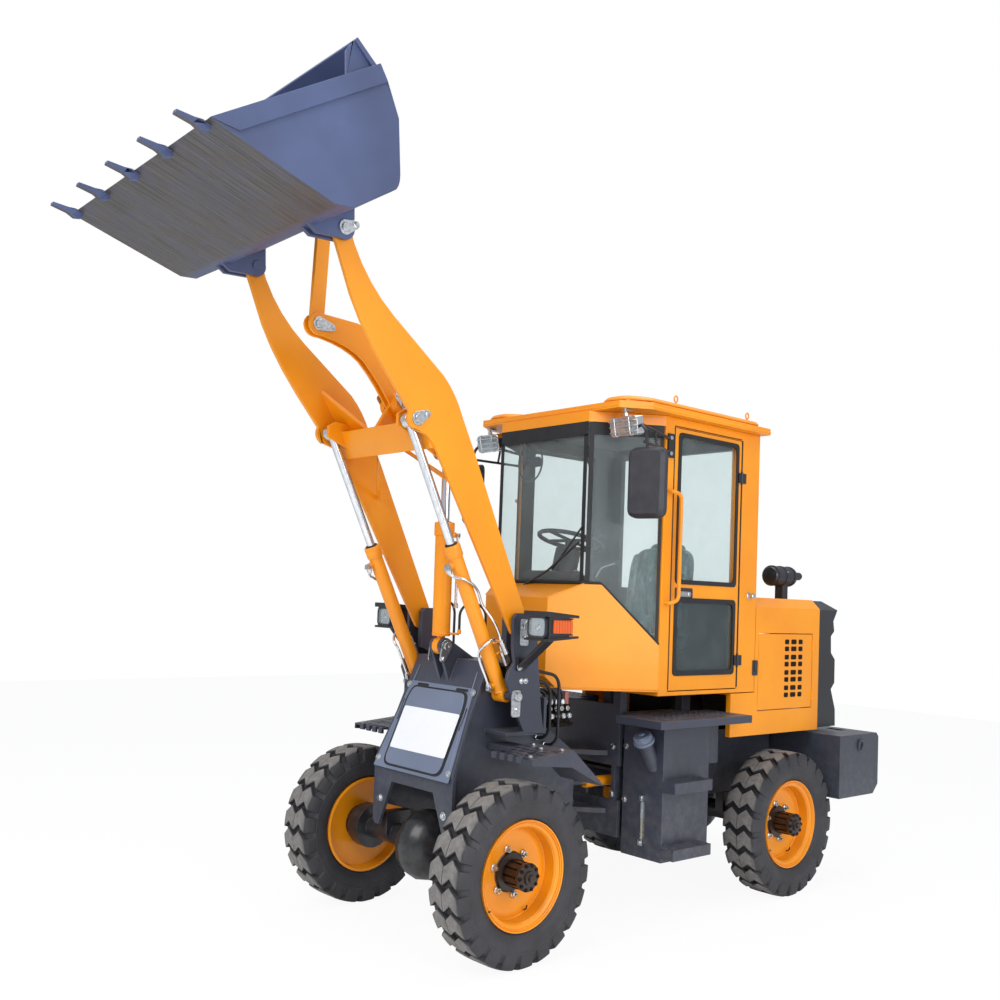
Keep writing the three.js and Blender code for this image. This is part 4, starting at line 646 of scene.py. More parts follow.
def metal(name, dark, light, rough, grain=0.01, stretch=None, strength=0.05):
    """Bare or plated metal whose tone and roughness drift with its working marks."""
    material, tree, surface, place = new_finish(name, Metallic=1.0)
    marks = clouds(tree, place, grain, 5, 0.6, stretch)
    tone = ramp(tree, marks, 0.3, 0.7, linear(dark), linear(light))
    roughness = number(tree, "MULTIPLY_ADD", marks, 0.16, rough - 0.08)
    surfaced(tree, surface, marks, strength, 0.001, tone, roughness)
    return material


def moulding(name, dark, light, rough, grain=0.003, strength=0.12):
    """Injection-moulded plastic or extruded rubber: one colour with a fine leather-like grain."""
    material, tree, surface, place = new_finish(name)
    tone = ramp(tree, clouds(tree, place, 0.08, 4), 0.3, 0.7, linear(dark), linear(light))
    texture = {"Vector": place.outputs["Object"], "Scale": 1 / grain}
    cells = add(tree, "ShaderNodeTexVoronoi", texture).outputs["Distance"]
    roughness = number(tree, "MULTIPLY_ADD", cells, 0.1, rough)
    surfaced(tree, surface, cells, strength, 0.0006, tone, roughness)
    return material


def safety_glass(name, tint, clear):
    """Toughened float glass with a slight green tint: a thin sheet that mirrors a small share of the light
    and lets the rest through without bending it, with a trace of dust."""
    material = bpy.data.materials.new(name)
    material.use_nodes = True
    tree = material.node_tree
    tree.nodes.clear()
    place = add(tree, "ShaderNodeTexCoord")
    dust = ramp(tree, clouds(tree, place, 0.15, 6, 0.65), 0.42, 0.75)
    through = add(tree, "ShaderNodeBsdfTransparent", {"Color": linear(tint)})
    gloss = add(tree, "ShaderNodeBsdfPrincipled", {
        "Base Color": linear("#dfeaec"), "Roughness": 0.04, "Specular IOR Level": 0.7})
    share = number(tree, "MULTIPLY_ADD", dust, 0.03, 1 - clear)
    pane = add(tree, "ShaderNodeMixShader", {0: share, 1: through.outputs[0], 2: gloss.outputs[0]})
    add(tree, "ShaderNodeOutputMaterial", {"Surface": pane.outputs[0]})
    return material


def lamp_lens(name, colour, shade):
    """Moulded acrylic lens: a deep colour under a glossy skin, with fine prism ribs inside it."""
    material, tree, surface, place = new_finish(name, Roughness=0.12, Coat_Weight=0.5, IOR=1.49)
    ribs = add(tree, "ShaderNodeTexWave", {"Vector": place.outputs["Object"], "Scale": 110.0,
                                           "Distortion": 0.4}, wave_type="BANDS", bands_direction="Z")
    tone = blend_colour(tree, ribs.outputs["Fac"], linear(shade), linear(colour))
    surfaced(tree, surface, ribs.outputs["Fac"], 0.4, 0.001, tone)
    return material


def seat_cover():
    """Woven seat cloth under a crinkled film of clear wrapping: teal, with painted light and shade that
    follow the creases, and pale painted highlights where the film catches light.
    """
    material, tree, surface, place = new_finish("film_wrapped_seat_cloth", Coat_Weight=0.8,
                                                Coat_Roughness=0.1)
    creases = clouds(tree, place, 0.05, 6, 0.7, (1, 1, 0.4))
    # Painted light and shade: the cloth's tone follows the same crease height that makes the bump.
    tone = ramp(tree, creases, 0.34, 0.66, linear("#16383c"), linear("#5f9698"))
    # Painted highlights: pale patches on the clear film.
    pale = ramp(tree, clouds(tree, place, 0.035, 7, 0.75), 0.56, 0.68)
    cloth = blend_colour(tree, number(tree, "MULTIPLY", pale, 0.7), tone, linear("#c9dcda"))
    surfaced(tree, surface, creases, 0.7, 0.01, cloth, number(tree, "MULTIPLY_ADD", creases, 0.3, 0.25))
    return material


# The box inside which the cab shell's inward faces get painted shade, darkened to near black.
CAB_INSIDE = ((-884, -592, 1240), (366, 592, 2801))


def mix_finishes():
    """Every finish on the machine, by a plain name."""
    golden = ("#f49a00", "#ec8f00")
    FINISH.update(
        yellow=enamel("golden_yellow_enamel", *golden, 0.4, 0.08, coat=0.15),
        # The cab shell's enamel, with painted shade on its inward faces.
        cab=enamel("golden_yellow_enamel_shaded_inside", *golden, 0.4, 0.08, coat=0.15,
                   inner_shade_box=placed(CAB_INSIDE).tolist()),
        slate=enamel("slate_grey_enamel", "#3c404f", "#343844", 0.42, 0.22, coat=0.1),
        black=enamel("black_enamel", "#22242a", "#1a1b1f", 0.32, 0.12, coat=0.15),
        bucket=bucket_steel(),
        tyre=tyre_rubber(),
        rubber=moulding("extruded_black_rubber", "#141519", "#1f2024", 0.55),
        plastic=moulding("moulded_black_plastic", "#23252b", "#30323a", 0.42, 0.004),
        hose=moulding("braided_hose_rubber", "#15161a", "#202227", 0.42, 0.004, 0.35),
        chrome=metal("hard_chrome_plate", "#c4c8ce", "#eceef2", 0.14, 0.02, (1, 1, 0.05), 0.02),
        zinc=metal("bright_zinc_plate", "#a9aeb2", "#dfe3e6", 0.3, 0.012),
        brass=metal("yellow_zinc_plate", "#a8874a", "#d2b878", 0.34, 0.012),
        iron=metal("oiled_black_casting", "#191715", "#35302b", 0.42, 0.015, strength=0.2),
        hub=moulding("dark_brown_hub_paint", "#221712", "#31231b", 0.3, 0.01, 0.08),
        glass=safety_glass("clear_safety_glass", "#f6fafa", 0.93),
        tinted=safety_glass("tinted_door_glass", "#b4c4c8", 0.93),
        # Painted light: a lighter copy of the slate enamel for the front plate's face, its edge ribs and the
        # filler caps, where light falls on them.
        face=enamel("slate_enamel_painted_lit", "#6d788f", "#626c82", 0.36, 0.12, coat=0.2),
        white=enamel("white_enamel_sheet", "#eef0f3", "#e6e8ee", 0.3, 0.04),
        primer=enamel("pinkish_primer", "#b06d62", "#a2635a", 0.5, 0.1),
        lens=safety_glass("clear_lamp_lens", "#f1f4f5", 0.82),
        orange=lamp_lens("orange_lamp_lens", "#f06a10", "#c8480a"),
        red=lamp_lens("red_lamp_lens", "#a80f10", "#7d0809"),
        cloth=seat_cover(),
    )


# ---------------------------------------------------------------- operators
class LOADER_OT_stage(bpy.types.Operator):
    """Camera, soft studio lights, pale floor and white surroundings"""

    bl_idname = "loader.stage"
    bl_label = "Studio"

    def execute(self, context):
        settings = context.scene.loader_stage
        self.camera(context, settings)
        self.lights(settings)
        self.floor()
        self.sky(context, settings)
        context.scene.view_settings.view_transform = "Standard"
        return {"FINISHED"}

    def camera(self, context, settings):
        """A camera 1.74 m up, ahead of and to the left of the machine, rolled by 2.3 degrees."""
        yaw, pitch, roll = (math.radians(value) for value in (229.81, 2.8, 2.29))
        forward = Vector((math.cos(yaw) * math.cos(pitch), math.sin(yaw) * math.cos(pitch), math.sin(pitch)))
        level = Vector((math.sin(yaw), -math.cos(yaw), 0))
        upright = level.cross(forward)
        right = math.cos(roll) * level + math.sin(roll) * upright
        up = math.cos(roll) * upright - math.sin(roll) * level
        lens = bpy.data.cameras.new("Camera")
        lens.sensor_width = 36
        lens.lens = 37.78
        lens.shift_x, lens.shift_y = 0.03326, 0.04361
        camera = bpy.data.objects.new("Camera", lens)
        where = Vector((AXLE_X["front"] + settings.distance, 4.345, 1.744))
        turn = Matrix((right, up, -forward)).transposed().to_4x4()
        camera.matrix_world = Matrix.Translation(where) @ turn
        context.scene.collection.objects.link(camera)
        context.scene.camera = camera

    def lights(self, settings):
        """A broad key from over the camera, a side fill, and a top light."""
        aim = Vector((MIDDLE_X * MM, 0, 1.6))
        for name, power, size, where in (
                ("Key", settings.key, 4.5, (5.5, 1.5, 6.0)),
                ("Fill", settings.fill, 4.0, (0.5, 6.5, 3.0)),
                ("Top", settings.fill, 5.0, (-1.5, 0.5, 7.5))):
            lamp = bpy.data.lights.new(name, "AREA")
            lamp.energy, lamp.size = power, size
            light = bpy.data.objects.new(name, lamp)
            where = Vector(where)
            turn = (aim - where).to_track_quat("-Z", "Y").to_matrix().to_4x4()
            light.matrix_world = Matrix.Translation(where) @ turn
            bpy.context.scene.collection.objects.link(light)

    def floor(self):
        """A flat pale floor that the camera sees as white where no shadow falls."""
        edge = np.linspace(-14, 14, 15)
        x, y = np.meshgrid(edge, edge, indexing="ij")
        points, faces = grid(np.stack([x, y, np.zeros_like(x)], 2))
        mesh = bpy.data.meshes.new("Floor")
        mesh.from_pydata(points.tolist(), [], faces)
        floor = bpy.data.objects.new("Floor", mesh)
        bpy.context.scene.collection.objects.link(floor)
        material, tree, surface, _ = new_finish("pale_seamless_paper", Roughness=0.9)
        surface.inputs["Base Color"].default_value = linear("#fafafa")
        rays = add(tree, "ShaderNodeLightPath")
        glow = add(tree, "ShaderNodeEmission", {"Color": WHITE, "Strength": 1.0})
        seen = number(tree, "MULTIPLY", rays.outputs["Is Camera Ray"], 0.93)
        seen = number(tree, "MAXIMUM", seen,
                      number(tree, "MULTIPLY", rays.outputs["Is Transmission Ray"], 0.9))
        mixed = add(tree, "ShaderNodeMixShader", {0: seen, 1: surface.outputs[0], 2: glow.outputs[0]})
        output = next(node for node in tree.nodes if node.type == "OUTPUT_MATERIAL")
        tree.links.new(mixed.outputs[0], output.inputs["Surface"])
        mesh.materials.append(material)

    def sky(self, context, settings):
        """Even light from all round, white to the camera, to glass and to shiny metal."""
        world = bpy.data.worlds.new("Studio")
        context.scene.world = world
        world.use_nodes = True
        tree = world.node_tree
        tree.nodes.clear()
        rays = add(tree, "ShaderNodeLightPath")
        seen = number(tree, "MAXIMUM", rays.outputs["Is Camera Ray"], rays.outputs["Is Transmission Ray"])
        even = add(tree, "ShaderNodeBackground", {"Color": linear("#eef1f6"), "Strength": settings.sky})
        white = add(tree, "ShaderNodeBackground", {"Color": WHITE, "Strength": 1.0})
        mixed = add(tree, "ShaderNodeMixShader", {0: seen, 1: even.outputs[0], 2: white.outputs[0]})
        add(tree, "ShaderNodeOutputWorld", {"Surface": mixed.outputs[0]})


class LOADER_OT_finishes(bpy.types.Operator):
    """Finishes on the CAD parts, with softened edges"""

    bl_idname = "loader.finishes"
    bl_label = "Finishes"

    NODES_OF = {
        "cab": ("cab_shell",),
        "yellow": ("hood", "cab_roof", "cab_door", "cab_cowl", "left_hood_door", "right_hood_door", "boom",
                   "rocker", "bucket_link", "tilt_barrel", "left_lift_barrel", "right_lift_barrel",
                   "left_steer_barrel", "right_steer_barrel"),
        "slate": ("rear_frame", "front_frame", "counterweight", "left_tank", "right_tank", "left_fender",
                  "right_fender"),
        "black": ("front_axle", "rear_axle", "left_headlamp", "right_headlamp", "rear_fascia"),
        "iron": ("engine",), "bucket": ("bucket",),
        "chrome": ("tilt_rod", "left_lift_rod", "right_lift_rod", "left_steer_rod", "right_steer_rod"),
        "glass": ("windshield", "right_upper_glass", "rear_glass", "door_upper_glass"),
        "plastic": ("seat_base", "steering_column", "lever_console", "left_mirror", "right_mirror",
                    "air_cleaner")}

    def execute(self, context):
        softness = context.scene.loader_trim.softness
        for finish, names in self.NODES_OF.items():
            for name in names:
                plain = finish == "glass" or name in ("rear_fascia", "hood")
                softened(NODES[name], FINISH[finish], 0 if plain else softness)
        return {"FINISHED"}


class LOADER_OT_hoses(bpy.types.Operator):
    """The free hoses from the cylinders to the front frame"""

    bl_idname = "loader.hoses"
    bl_label = "Hoses"

    LIFT = (((979.68, 402.1, 1451.32), (956.5, 409.4, 1402), (580, 391, 1332), (580, 391, 960),
             (580, 300.4, 960)), ((952.68, 376.06, 1393.32), (929.3, 380.5, 1343.7), (640, 387, 1292),
                                  (640, 387, 1000), (640, 300.4, 1000)))
    TILT = ((1022, 72, 1560.4), (1022, 72, 1700), (890, 130, 1700), (890, 130, 1420.4))
    LIFT_BEND, TILT_BEND = 74.0, 70.0
    LIFT_RADIUS, TILT_RADIUS = 9.0, 7.0
    STRAIGHT = 55.0

    def execute(self, context):
        for name, side in SIDES:
            for index, points in enumerate(self.LIFT, 1):
                self.hose(f"{name}_lift_hose_{index}", points, self.LIFT_BEND, self.LIFT_RADIUS, side,
                          f"{name}_lift_barrel")
            self.hose(f"{name}_tilt_hose", self.TILT, self.TILT_BEND, self.TILT_RADIUS, side, "tilt_barrel")
        return {"FINISHED"}

    def eased(self, corners, bend):
        """A line through corners, each turned by an arc of the radius bend, with its straights split into
        steps no longer than STRAIGHT."""
        line = [corners[0]]
        for before, corner, after in zip(corners, corners[1:], corners[2:]):
            back, on = ((end - corner) / np.linalg.norm(end - corner) for end in (before, after))
            half = math.acos(np.dot(back, on)) / 2
            centre = corner + (back + on) / np.linalg.norm(back + on) * bend / math.sin(half)
            first = corner + back * bend / math.tan(half) - centre
            last = corner + on * bend / math.tan(half) - centre
            whole = math.pi - 2 * half
            for t in np.linspace(0, 1, 7):
                line.append(centre + (first * math.sin((1 - t) * whole)
                                      + last * math.sin(t * whole)) / math.sin(whole))
        line.append(corners[-1])
        split = [line[0]]
        for start, end in zip(line, line[1:]):
            parts = math.ceil(np.linalg.norm(end - start) / self.STRAIGHT)
            split += [start + (end - start) * (k + 1) / parts for k in range(parts)]
        return np.array(split)

    def hose(self, node, corners, bend, radius, side, moving):
        """One hose along its eased route, in place of the CAD node, which is hidden; it rides on no body."""
        route = self.eased(np.array(corners) * (1, side, 1), bend)
        line = along_curve(route, 4)
        made = piece(f"{node}_rubber", carried(line, circle(radius, 14)), "hose", None)
        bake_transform(made)
        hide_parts(node)


class LOADER_OT_wheels(bpy.types.Operator):
    """Tyres with moulded tread blocks, split rims, hubs and nuts"""

    bl_idname = "loader.wheels"
    bl_label = "Wheels"

    HALF_WIDTH = 114.0
    BEAD = 262.6

    def execute(self, context):
        settings = context.scene.loader_wheels
        for end in ("front", "rear"):
            for name, side in SIDES:
                place = np.array((HALF_BASE if end == "front" else -HALF_BASE, HALF_TRACK * side, AXLE_Z))
                body = f"{end}_{name}_wheel"
                self.tyre(f"{end}_{name}", settings, place, side, body)
                self.rim(f"{end}_{name}", settings, place, side, body)
        return {"FINISHED"}

    def tyre(self, name, settings, place, side, body):
        """The tyre's skin is r(s, v): v runs over the section from bead to bead and s round the wheel. Each
        row of blocks is sheared round the wheel by zig(v), which is pointed at the middle of each half of the
        tread, and the height above the groove floor is a step function of s alone, so block edges are
        crisp."""
        radius = AXLE_Z
        depth = settings.depth / MM
        # One half of the section, from the tread's middle to the bead: (sideways, radius, share of the groove
        # depth there, share of the zigzag).
        section = np.array([
            (1.6, radius - 9, 0.5, 0.03), (2.2, radius - 0.5, 1.0, 0.04), (22, radius, 1.0, 0.42),
            (42, radius, 1.0, 0.80), (50, radius, 1.0, 0.95), (58, radius - 0.5, 1.0, 0.80),
            (76, radius - 1.5, 1.0, 0.42), (93, radius - 3.5, 1.0, 0.10), (101, radius - 8, 1.0, 0.0),
            (106, radius - 18, 1.0, 0.0), (110, radius - 38, 0.95, 0.0), (112, radius - 58, 0.75, 0.0),
            (113, radius - 72, 0.35, 0.0), (112, radius - 76, 0.0, 0.0), (112.4, radius - 80, 0.0, 0.0),
            (113.6, radius - 82, 0.0, 0.0), (113.6, radius - 86, 0.0, 0.0), (112, radius - 89, 0.0, 0.0),
            (112, radius - 104, 0.0, 0.0), (109, radius - 122, 0.0, 0.0), (103, radius - 138, 0.0, 0.0),
            (97, radius - 148, 0.0, 0.0), (95, radius - 151, 0.0, 0.0), (93.5, radius - 151.5, 0.0, 0.0),
            (91, radius - 156, 0.0, 0.0), (84, radius - 166, 0.0, 0.0), (78, self.BEAD, 0.0, 0.0)])
        other = section[::-1] * (-1, 1, 1, 1)
        whole = np.concatenate([section[::-1], other[::-1]])
        y, r, share, zig = whole.T
        # Round one row of blocks: the block's face up to 0.66, the groove from 0.71 to 0.95.
        steps = np.array([0.0, 0.02, 0.22, 0.44, 0.64, 0.66, 0.71, 0.83, 0.95])
        sunk = np.array([0.06, 0.0, 0.0, 0.0, 0.0, 0.06, 1.0, 1.0, 1.0])
        rows = settings.lugs
        turn = (np.arange(rows)[:, None] + steps).ravel() / rows * 2 * np.pi
        drop = np.tile(sunk, rows)
        shear = zig * 0.34 * 2 * np.pi / rows
        angle = turn[:, None] + shear[None, :]
        low = depth * drop[:, None] * share[None, :]
        # Grooves sink toward the axle under the tread and inward from the shoulder's side.
        crown = np.clip((r - (radius - 40)) / 30, 0, 1)
        q = r - low * crown
        across = y - np.sign(y) * low * (1
                                         - crown) * 0.55 - np.sign(y) * low * crown * (np.abs(y) > 99) * 0.35
        points = np.stack([q * np.cos(angle), np.broadcast_to(across, q.shape) * side, q * np.sin(angle)], 2)
        shape = grid(points + place, wrap_u=True, wrap_v=True)
        made = piece(f"{name}_tread", shape, "tyre", body, crease=24)
        self.mark(made, place)
        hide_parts(f"{name}_tyre")

    def mark(self, made, place):
        """Stores each point's distance from the axle, and how deep it lies below the tread, for the
        rubber."""
        mesh = made.data
        points = np.empty(len(mesh.vertices) * 3)
        mesh.vertices.foreach_get("co", points)
        points = points.reshape(-1, 3) - placed(place)
        radius = np.hypot(points[:, 0], points[:, 2])
        sideways = np.abs(points[:, 1])
        groove = ((radius < 0.4245) & (radius > 0.395) & (sideways < 0.104)).astype(float)
        for key, values in (("radius", radius), ("groove", groove)):
            mesh.attributes.new(key, "FLOAT", "POINT").data.foreach_set("value", values.astype(np.float32))

    def rim(self, name, settings, place, side, body):
        """The split rim: a turned barrel with its lock ring and side ring, and a disc dished inward."""
        out = np.array((0, side, 0.0))
        half = self.HALF_WIDTH
        profile = [(-half + 34, 250), (-half + 26, 262), (-half + 24, 262), (-half + 22, 248), (-34, 236),
                   (-30, 214), (-22, 120), (-20, 66), (-14, 66), (-12, 118), (-6, 150), (2, 176), (4, 196),
                   (0, 214), (6, 219), (half - 52, 223), (half - 42, 230), (half - 36, 244), (half - 29, 246),
                   (half - 27, 249), (half - 31, 251), (half - 31, 253), (half - 25, 255), (half - 23, 261),
                   (half - 30, 262.2), (half - 60, 262.2), (-half + 40, 256)]
        made = piece(f"{name}_wheel_rim", ring(profile, place, out, 72), "yellow", body, crease=28)
        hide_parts(f"{name}_rim")
        self.hub(name, settings, place, side, body)

    def hub(self, name, settings, place, side, body):
        """A drum hub with a bolted end cap, and the nuts on the disc."""
        out = np.array((0, side, 0.0))
        drum = turned([(-60, 0), (-60, 100), (-14, 100), (-10, 92), (2, 90), (6, 63), (92, 60), (96, 66),
                       (116, 68), (118, 60), (122, 58), (124, 34), (134, 32), (136, 18), (146, 17), (150, 13),
                       (150, 0)], place, out, 40)
        ribs = []
        for angle in np.linspace(0, 2 * np.pi, 10, endpoint=False):
            radial = np.array((math.cos(angle), 0, math.sin(angle)))
            ribs.append(bolt(place + radial * 57 + out * 116, out, 17, 11, washer=False))
            ribs.append(bar([place + radial * 61 + out * 12, place + radial * 61 + out * 90], 5, 8))
        piece(f"{name}_hub", drum, "hub", body)
        piece(f"{name}_hub_bolts", merged(*ribs), "iron", body)
        nuts, stubs = [], []
        for angle in np.linspace(0, 2 * np.pi, settings.studs, endpoint=False) + 0.3:
            radial = np.array((math.cos(angle), 0, math.sin(angle)))
            root = place + radial * 112 - out * 10
            nuts.append(turned([(0, 19), (6, 19), (9, 15), (15, 15), (17, 13.5), (19, 13.5), (19, 0)], root,
                               out, 12))
            nuts.append(bolt(root + out * 6, out, 27, 15, washer=False))
            stubs.append(turned([(0, 8), (29, 8), (31, 6), (31, 0)], root, out, 10))
        piece(f"{name}_wheel_nuts", merged(*nuts), "zinc", body)
        piece(f"{name}_wheel_studs", merged(*stubs), "brass", body)
        valve = place + np.array((math.cos(4.3), 0, math.sin(4.3))) * 205
        stem = bar([valve + out * 10, valve + out * 30 - (valve - place) * 0.06,
                    valve + out * 42 - (valve - place) * 0.16], 4, 8, 6)
        piece(f"{name}_valve", stem, "rubber", body)
        # The lock ring is split, and a dark block in the gap is painted shade there.
        gap = place + np.array((math.cos(-0.55), 0, math.sin(-0.55))) * 251 + out * (self.HALF_WIDTH - 26)
        slot = block(gap - (9, 2.2, 3), gap + (9, 2.2, 3))
        piece(f"{name}_ring_gap_shade", slot, "rubber", body)


# The cylinders' pins at rest, and how far along each barrel its ports and its open end lie.
LIFT_BASE, LIFT_PIN = np.array((945.0, 341, 1240)), np.array((1613.0, 341, 2570))
LIFT_FOOT_PORT, LIFT_TOP_PORT, LIFT_END = 72, 742, 836
TILT_BASE, TILT_PIN = np.array((1085.0, 0, 1470)), np.array((1095.0, 0, 2500))
TILT_PORT, TILT_END = 590, 655
# How far out from the middle each outer upright's face lies.
UPRIGHT_SIDE = 446


def lock_plate(pin, tail, thickness=8.0, big=34.0, small=19.0, facing=1):
    """A teardrop keeper plate on a pin's end, round the pin and narrowing to one bolt at tail. Its outline is
    two arcs joined by their common tangents; facing 1 looks to the left and -1 to the right."""
    pin, tail = np.asarray(pin, float), np.asarray(tail, float)
    line = (tail - pin)[[2, 0]]
    length = np.linalg.norm(line)
    heading = math.atan2(line[1], line[0])
    lean = math.acos((big - small) / length)
    wide = np.linspace(heading + lean, heading - lean + 2 * np.pi, 16)
    tight = np.linspace(heading - lean, heading + lean, 8)
    outline = np.concatenate([np.stack([np.cos(wide), np.sin(wide)], 1) * big,
                              line + np.stack([np.cos(tight), np.sin(tight)], 1) * small])
    if facing > 0:
        plate = slab(outline, pin, UP, FORWARD, thickness, 1.5)
    else:
        plate = slab(outline[:, ::-1], pin, FORWARD, UP, thickness, 1.5)
    top = OUT * facing
    cap = turned([(0, 21), (6, 21), (8, 19), (8, 8), (6.5, 7), (6.5, 0)], pin + top * thickness, top, 20)
    return merged(plate, cap, bolt(tail + top * thickness, top, 17, 9))


def elbow_nut(point, direction, across=26.0, length=22.0):
    """A union nut on a pipe: a hexagon between two round shoulders."""
    radius = across / math.sqrt(3)
    return merged(
        turned([(0, radius), (length, radius), (length + 1, radius * 0.8), (length + 1, 0)], point, direction,
               6),
        turned([(0, radius * 0.75), (length + 7, radius * 0.75), (length + 8, radius * 0.6), (length + 8, 0)],
               point, direction, 14))


class LOADER_OT_arm(bpy.types.Operator):
    """Glands, ports, pipes and keeper plates of the lift arm"""

    bl_idname = "loader.arm"
    bl_label = "Lift Arm Trim"

    def execute(self, context):
        pipe = context.scene.loader_trim.pipe / MM / 2
        for name, side in SIDES:
            self.lift_cylinder(name, side, pipe)
            self.pins(name, side)
        self.tilt_cylinder(pipe)
        return {"FINISHED"}

    def lift_cylinder(self, name, side, pipe):
        """A lift cylinder's gland, wiper and ports, and its two pipes. Each pipe leaves a port ahead of the
        barrel and crosses to the hoses behind it, past the barrel's outer side."""
        u = (LIFT_PIN - LIFT_BASE) / np.linalg.norm(LIFT_PIN - LIFT_BASE)
        n = np.array((u[2], 0, -u[0]))
        body = f"{name}_lift_barrel"
        gland = ring([(-62, 36), (-62, 42), (-60, 43), (-4, 43), (0, 41), (1, 40), (1, 24), (-1, 23.4)],
                     LIFT_BASE + u * LIFT_END, u, 32)
        groove = ring([(-20, 42), (-20, 44), (-14, 44), (-14, 42)], LIFT_BASE + u * LIFT_END, u, 32)
        weld = ring([(0, 37), (3, 41), (8, 37)], LIFT_BASE + u * 28, u, 28)
        foot = LIFT_BASE + u * LIFT_FOOT_PORT
        top = LIFT_BASE + u * LIFT_TOP_PORT
        boss = merged(turned([(30, 17), (52, 17), (54, 15), (54, 0)], top, n, 18),
                      turned([(30, 15), (50, 15), (52, 13), (52, 0)], foot, n, 18))
        piece(f"{name}_lift_gland", on_side(merged(gland, groove, weld, boss), side), "yellow", body)
        wiper = ring([(3, 23.2), (3, 33), (7, 31), (8, 24), (6, 22.6)], LIFT_BASE + u * LIFT_END, u, 28)
        piece(f"{name}_lift_wiper", on_side(wiper, side), "rubber", body)
        high = top + n * 66

        def beside(along, off, out):
            """A place along the barrel, off to its front, and out to its side."""
            return LIFT_BASE + u * along + n * off + OUT * out

        first = [high - u * 4 + n * 2, high - u * 30 + n * 2, beside(690, 60, 22), beside(668, 34, 46),
                 beside(630, 0, 54), beside(570, -34, 42), np.array((1130, 372, 1700)),
                 np.array((1060, 391, 1610)), np.array((1020, 392, 1540)), np.array((1012, 392, 1518))]
        low = foot + n * 62
        second = [low + u * 2, low + u * 60, low + u * 170, beside(285, 56, 22), beside(304, 30, 46),
                  beside(312, 0, 54), beside(300, -34, 46), beside(262, -62, 32), np.array((985, 370, 1466))]
        pipes = merged(
            *(carried(along_curve(np.array(route), 8), circle(pipe, 12)) for route in (first, second)))
        piece(f"{name}_lift_pipes", on_side(pipes, side), "chrome", body)
        nuts = merged(elbow_nut(top + n * 50, n, 30, 16), elbow_nut(high - u * 8, -u, 24, 20),
                      elbow_nut(low + u * 2, u, 24, 20), block(high - (13, 13, 13), high + (13, 13, 13), 4),
                      block(low - (12, 12, 14), low + (12, 12, 14), 4))
        piece(f"{name}_lift_unions", on_side(nuts, side), "zinc", body)
        plugs = merged(elbow_nut(foot + n * 46, n, 28, 12), bolt(low - u * 12, -u, 19, 12, washer=False))
        piece(f"{name}_lift_plugs", on_side(plugs, side), "brass", body)
        crimps = []
        radius = 13.4
        for start, end in (((1012, 392, 1520), (980, 402, 1452)), ((985, 370, 1462), (953, 376, 1394))):
            start, end = np.array(start, float), np.array(end, float)
            length = np.linalg.norm(end - start)
            d = (end - start) / length
            wave = [(0, 0), (0, 11), (2, radius + 1.5), (18, radius + 1.5), (19, radius - 1),
                    (24, radius - 1)]
            for k in range(5):
                at = 25 + k * 9
                wave += [(at, radius), (at + 6, radius), (at + 7, radius - 1.3), (at + 8, radius - 1.3)]
            wave += [(length - 1, radius), (length, radius - 2), (length, 0)]
            crimps.append(turned(wave, start, d, 18))
        piece(f"{name}_lift_crimps", on_side(merged(*crimps), side), "zinc", body)

    def tilt_cylinder(self, pipe):
        """The tilt cylinder's gland and wiper, and a pipe down each side of its barrel."""
        u = (TILT_PIN - TILT_BASE) / np.linalg.norm(TILT_PIN - TILT_BASE)
        gland = ring([(-70, 46), (-70, 52.5), (-68, 54), (-4, 54), (0, 51), (0, 26), (-4, 25.4)],
                     TILT_BASE + u * TILT_END, u, 36)
        weld = ring([(0, 47), (4, 51), (9, 47)], TILT_BASE + u * 60, u, 32)
        bosses = []
        for side in (1, -1):
            bosses.append(turned([(40, 15), (62, 15), (64, 13), (64, 0)], TILT_BASE + u * TILT_PORT,
                                 (-0.6, 0.8 * side, 0), 16))
        piece("tilt_gland", merged(gland, weld, *bosses), "yellow", "tilt_barrel")
        wiper = ring([(0, 25.4), (0, 38), (5, 36), (6, 26), (4, 25)], TILT_BASE + u * TILT_END, u, 28)
        piece("tilt_wiper", wiper, "rubber", "tilt_barrel")
        pipes, nuts = [], []
        for side in (1, -1):
            high = TILT_BASE + u * TILT_PORT + np.array((-0.6, 0.8 * side, 0)) * 74
            route = np.array([high, high - u * 40, high - u * 200, high - u * 380])
            pipes.append(carried(along_curve(route, 6), circle(pipe, 12)))
            nuts += [elbow_nut(high + u * 8, -u, 24, 20), elbow_nut(high - u * 388, u, 24, 20)]
        piece("tilt_pipes", merged(*pipes), "chrome", "tilt_barrel")
        piece("tilt_unions", merged(*nuts), "zinc", "tilt_barrel")

    def pins(self, name, side):
        """Keeper plates on the ends of the pins, and the round heads of the pins that have none."""
        shapes = {"boom": [lock_plate((1613, 410, 2570), (1560, 410, 2598)),
                           lock_plate((1445, 76, 2700), (1496, 76, 2740), 6, 30, 16)],
                  "bucket": [lock_plate((2086, 438, 3360), (2032, 438, 3384))],
                  "rocker": [lock_plate((1945, 29, 3023), (1872, 29, 3016))],
                  "front_frame": [lock_plate((1085, 46, 1470), (1108, 46, 1404)), self.keeper(945, 1240),
                                  self.keeper(905, 1600)]}
        for body, made in shapes.items():
            piece(f"{name}_{body}_keepers", on_side(merged(*made), side), "zinc", body)
        for body, head in (
                ("rocker", turned([(0, 34), (6, 34), (7, 32), (7, 0)], (1095, 73, 2500), OUT, 28)),
                ("bucket_link", turned([(0, 26), (4, 26), (6, 23), (6, 0)], (1925, 13.2, 3600), OUT, 24))):
            piece(f"{name}_{body}_pin_head", on_side(head, side), "zinc", body)

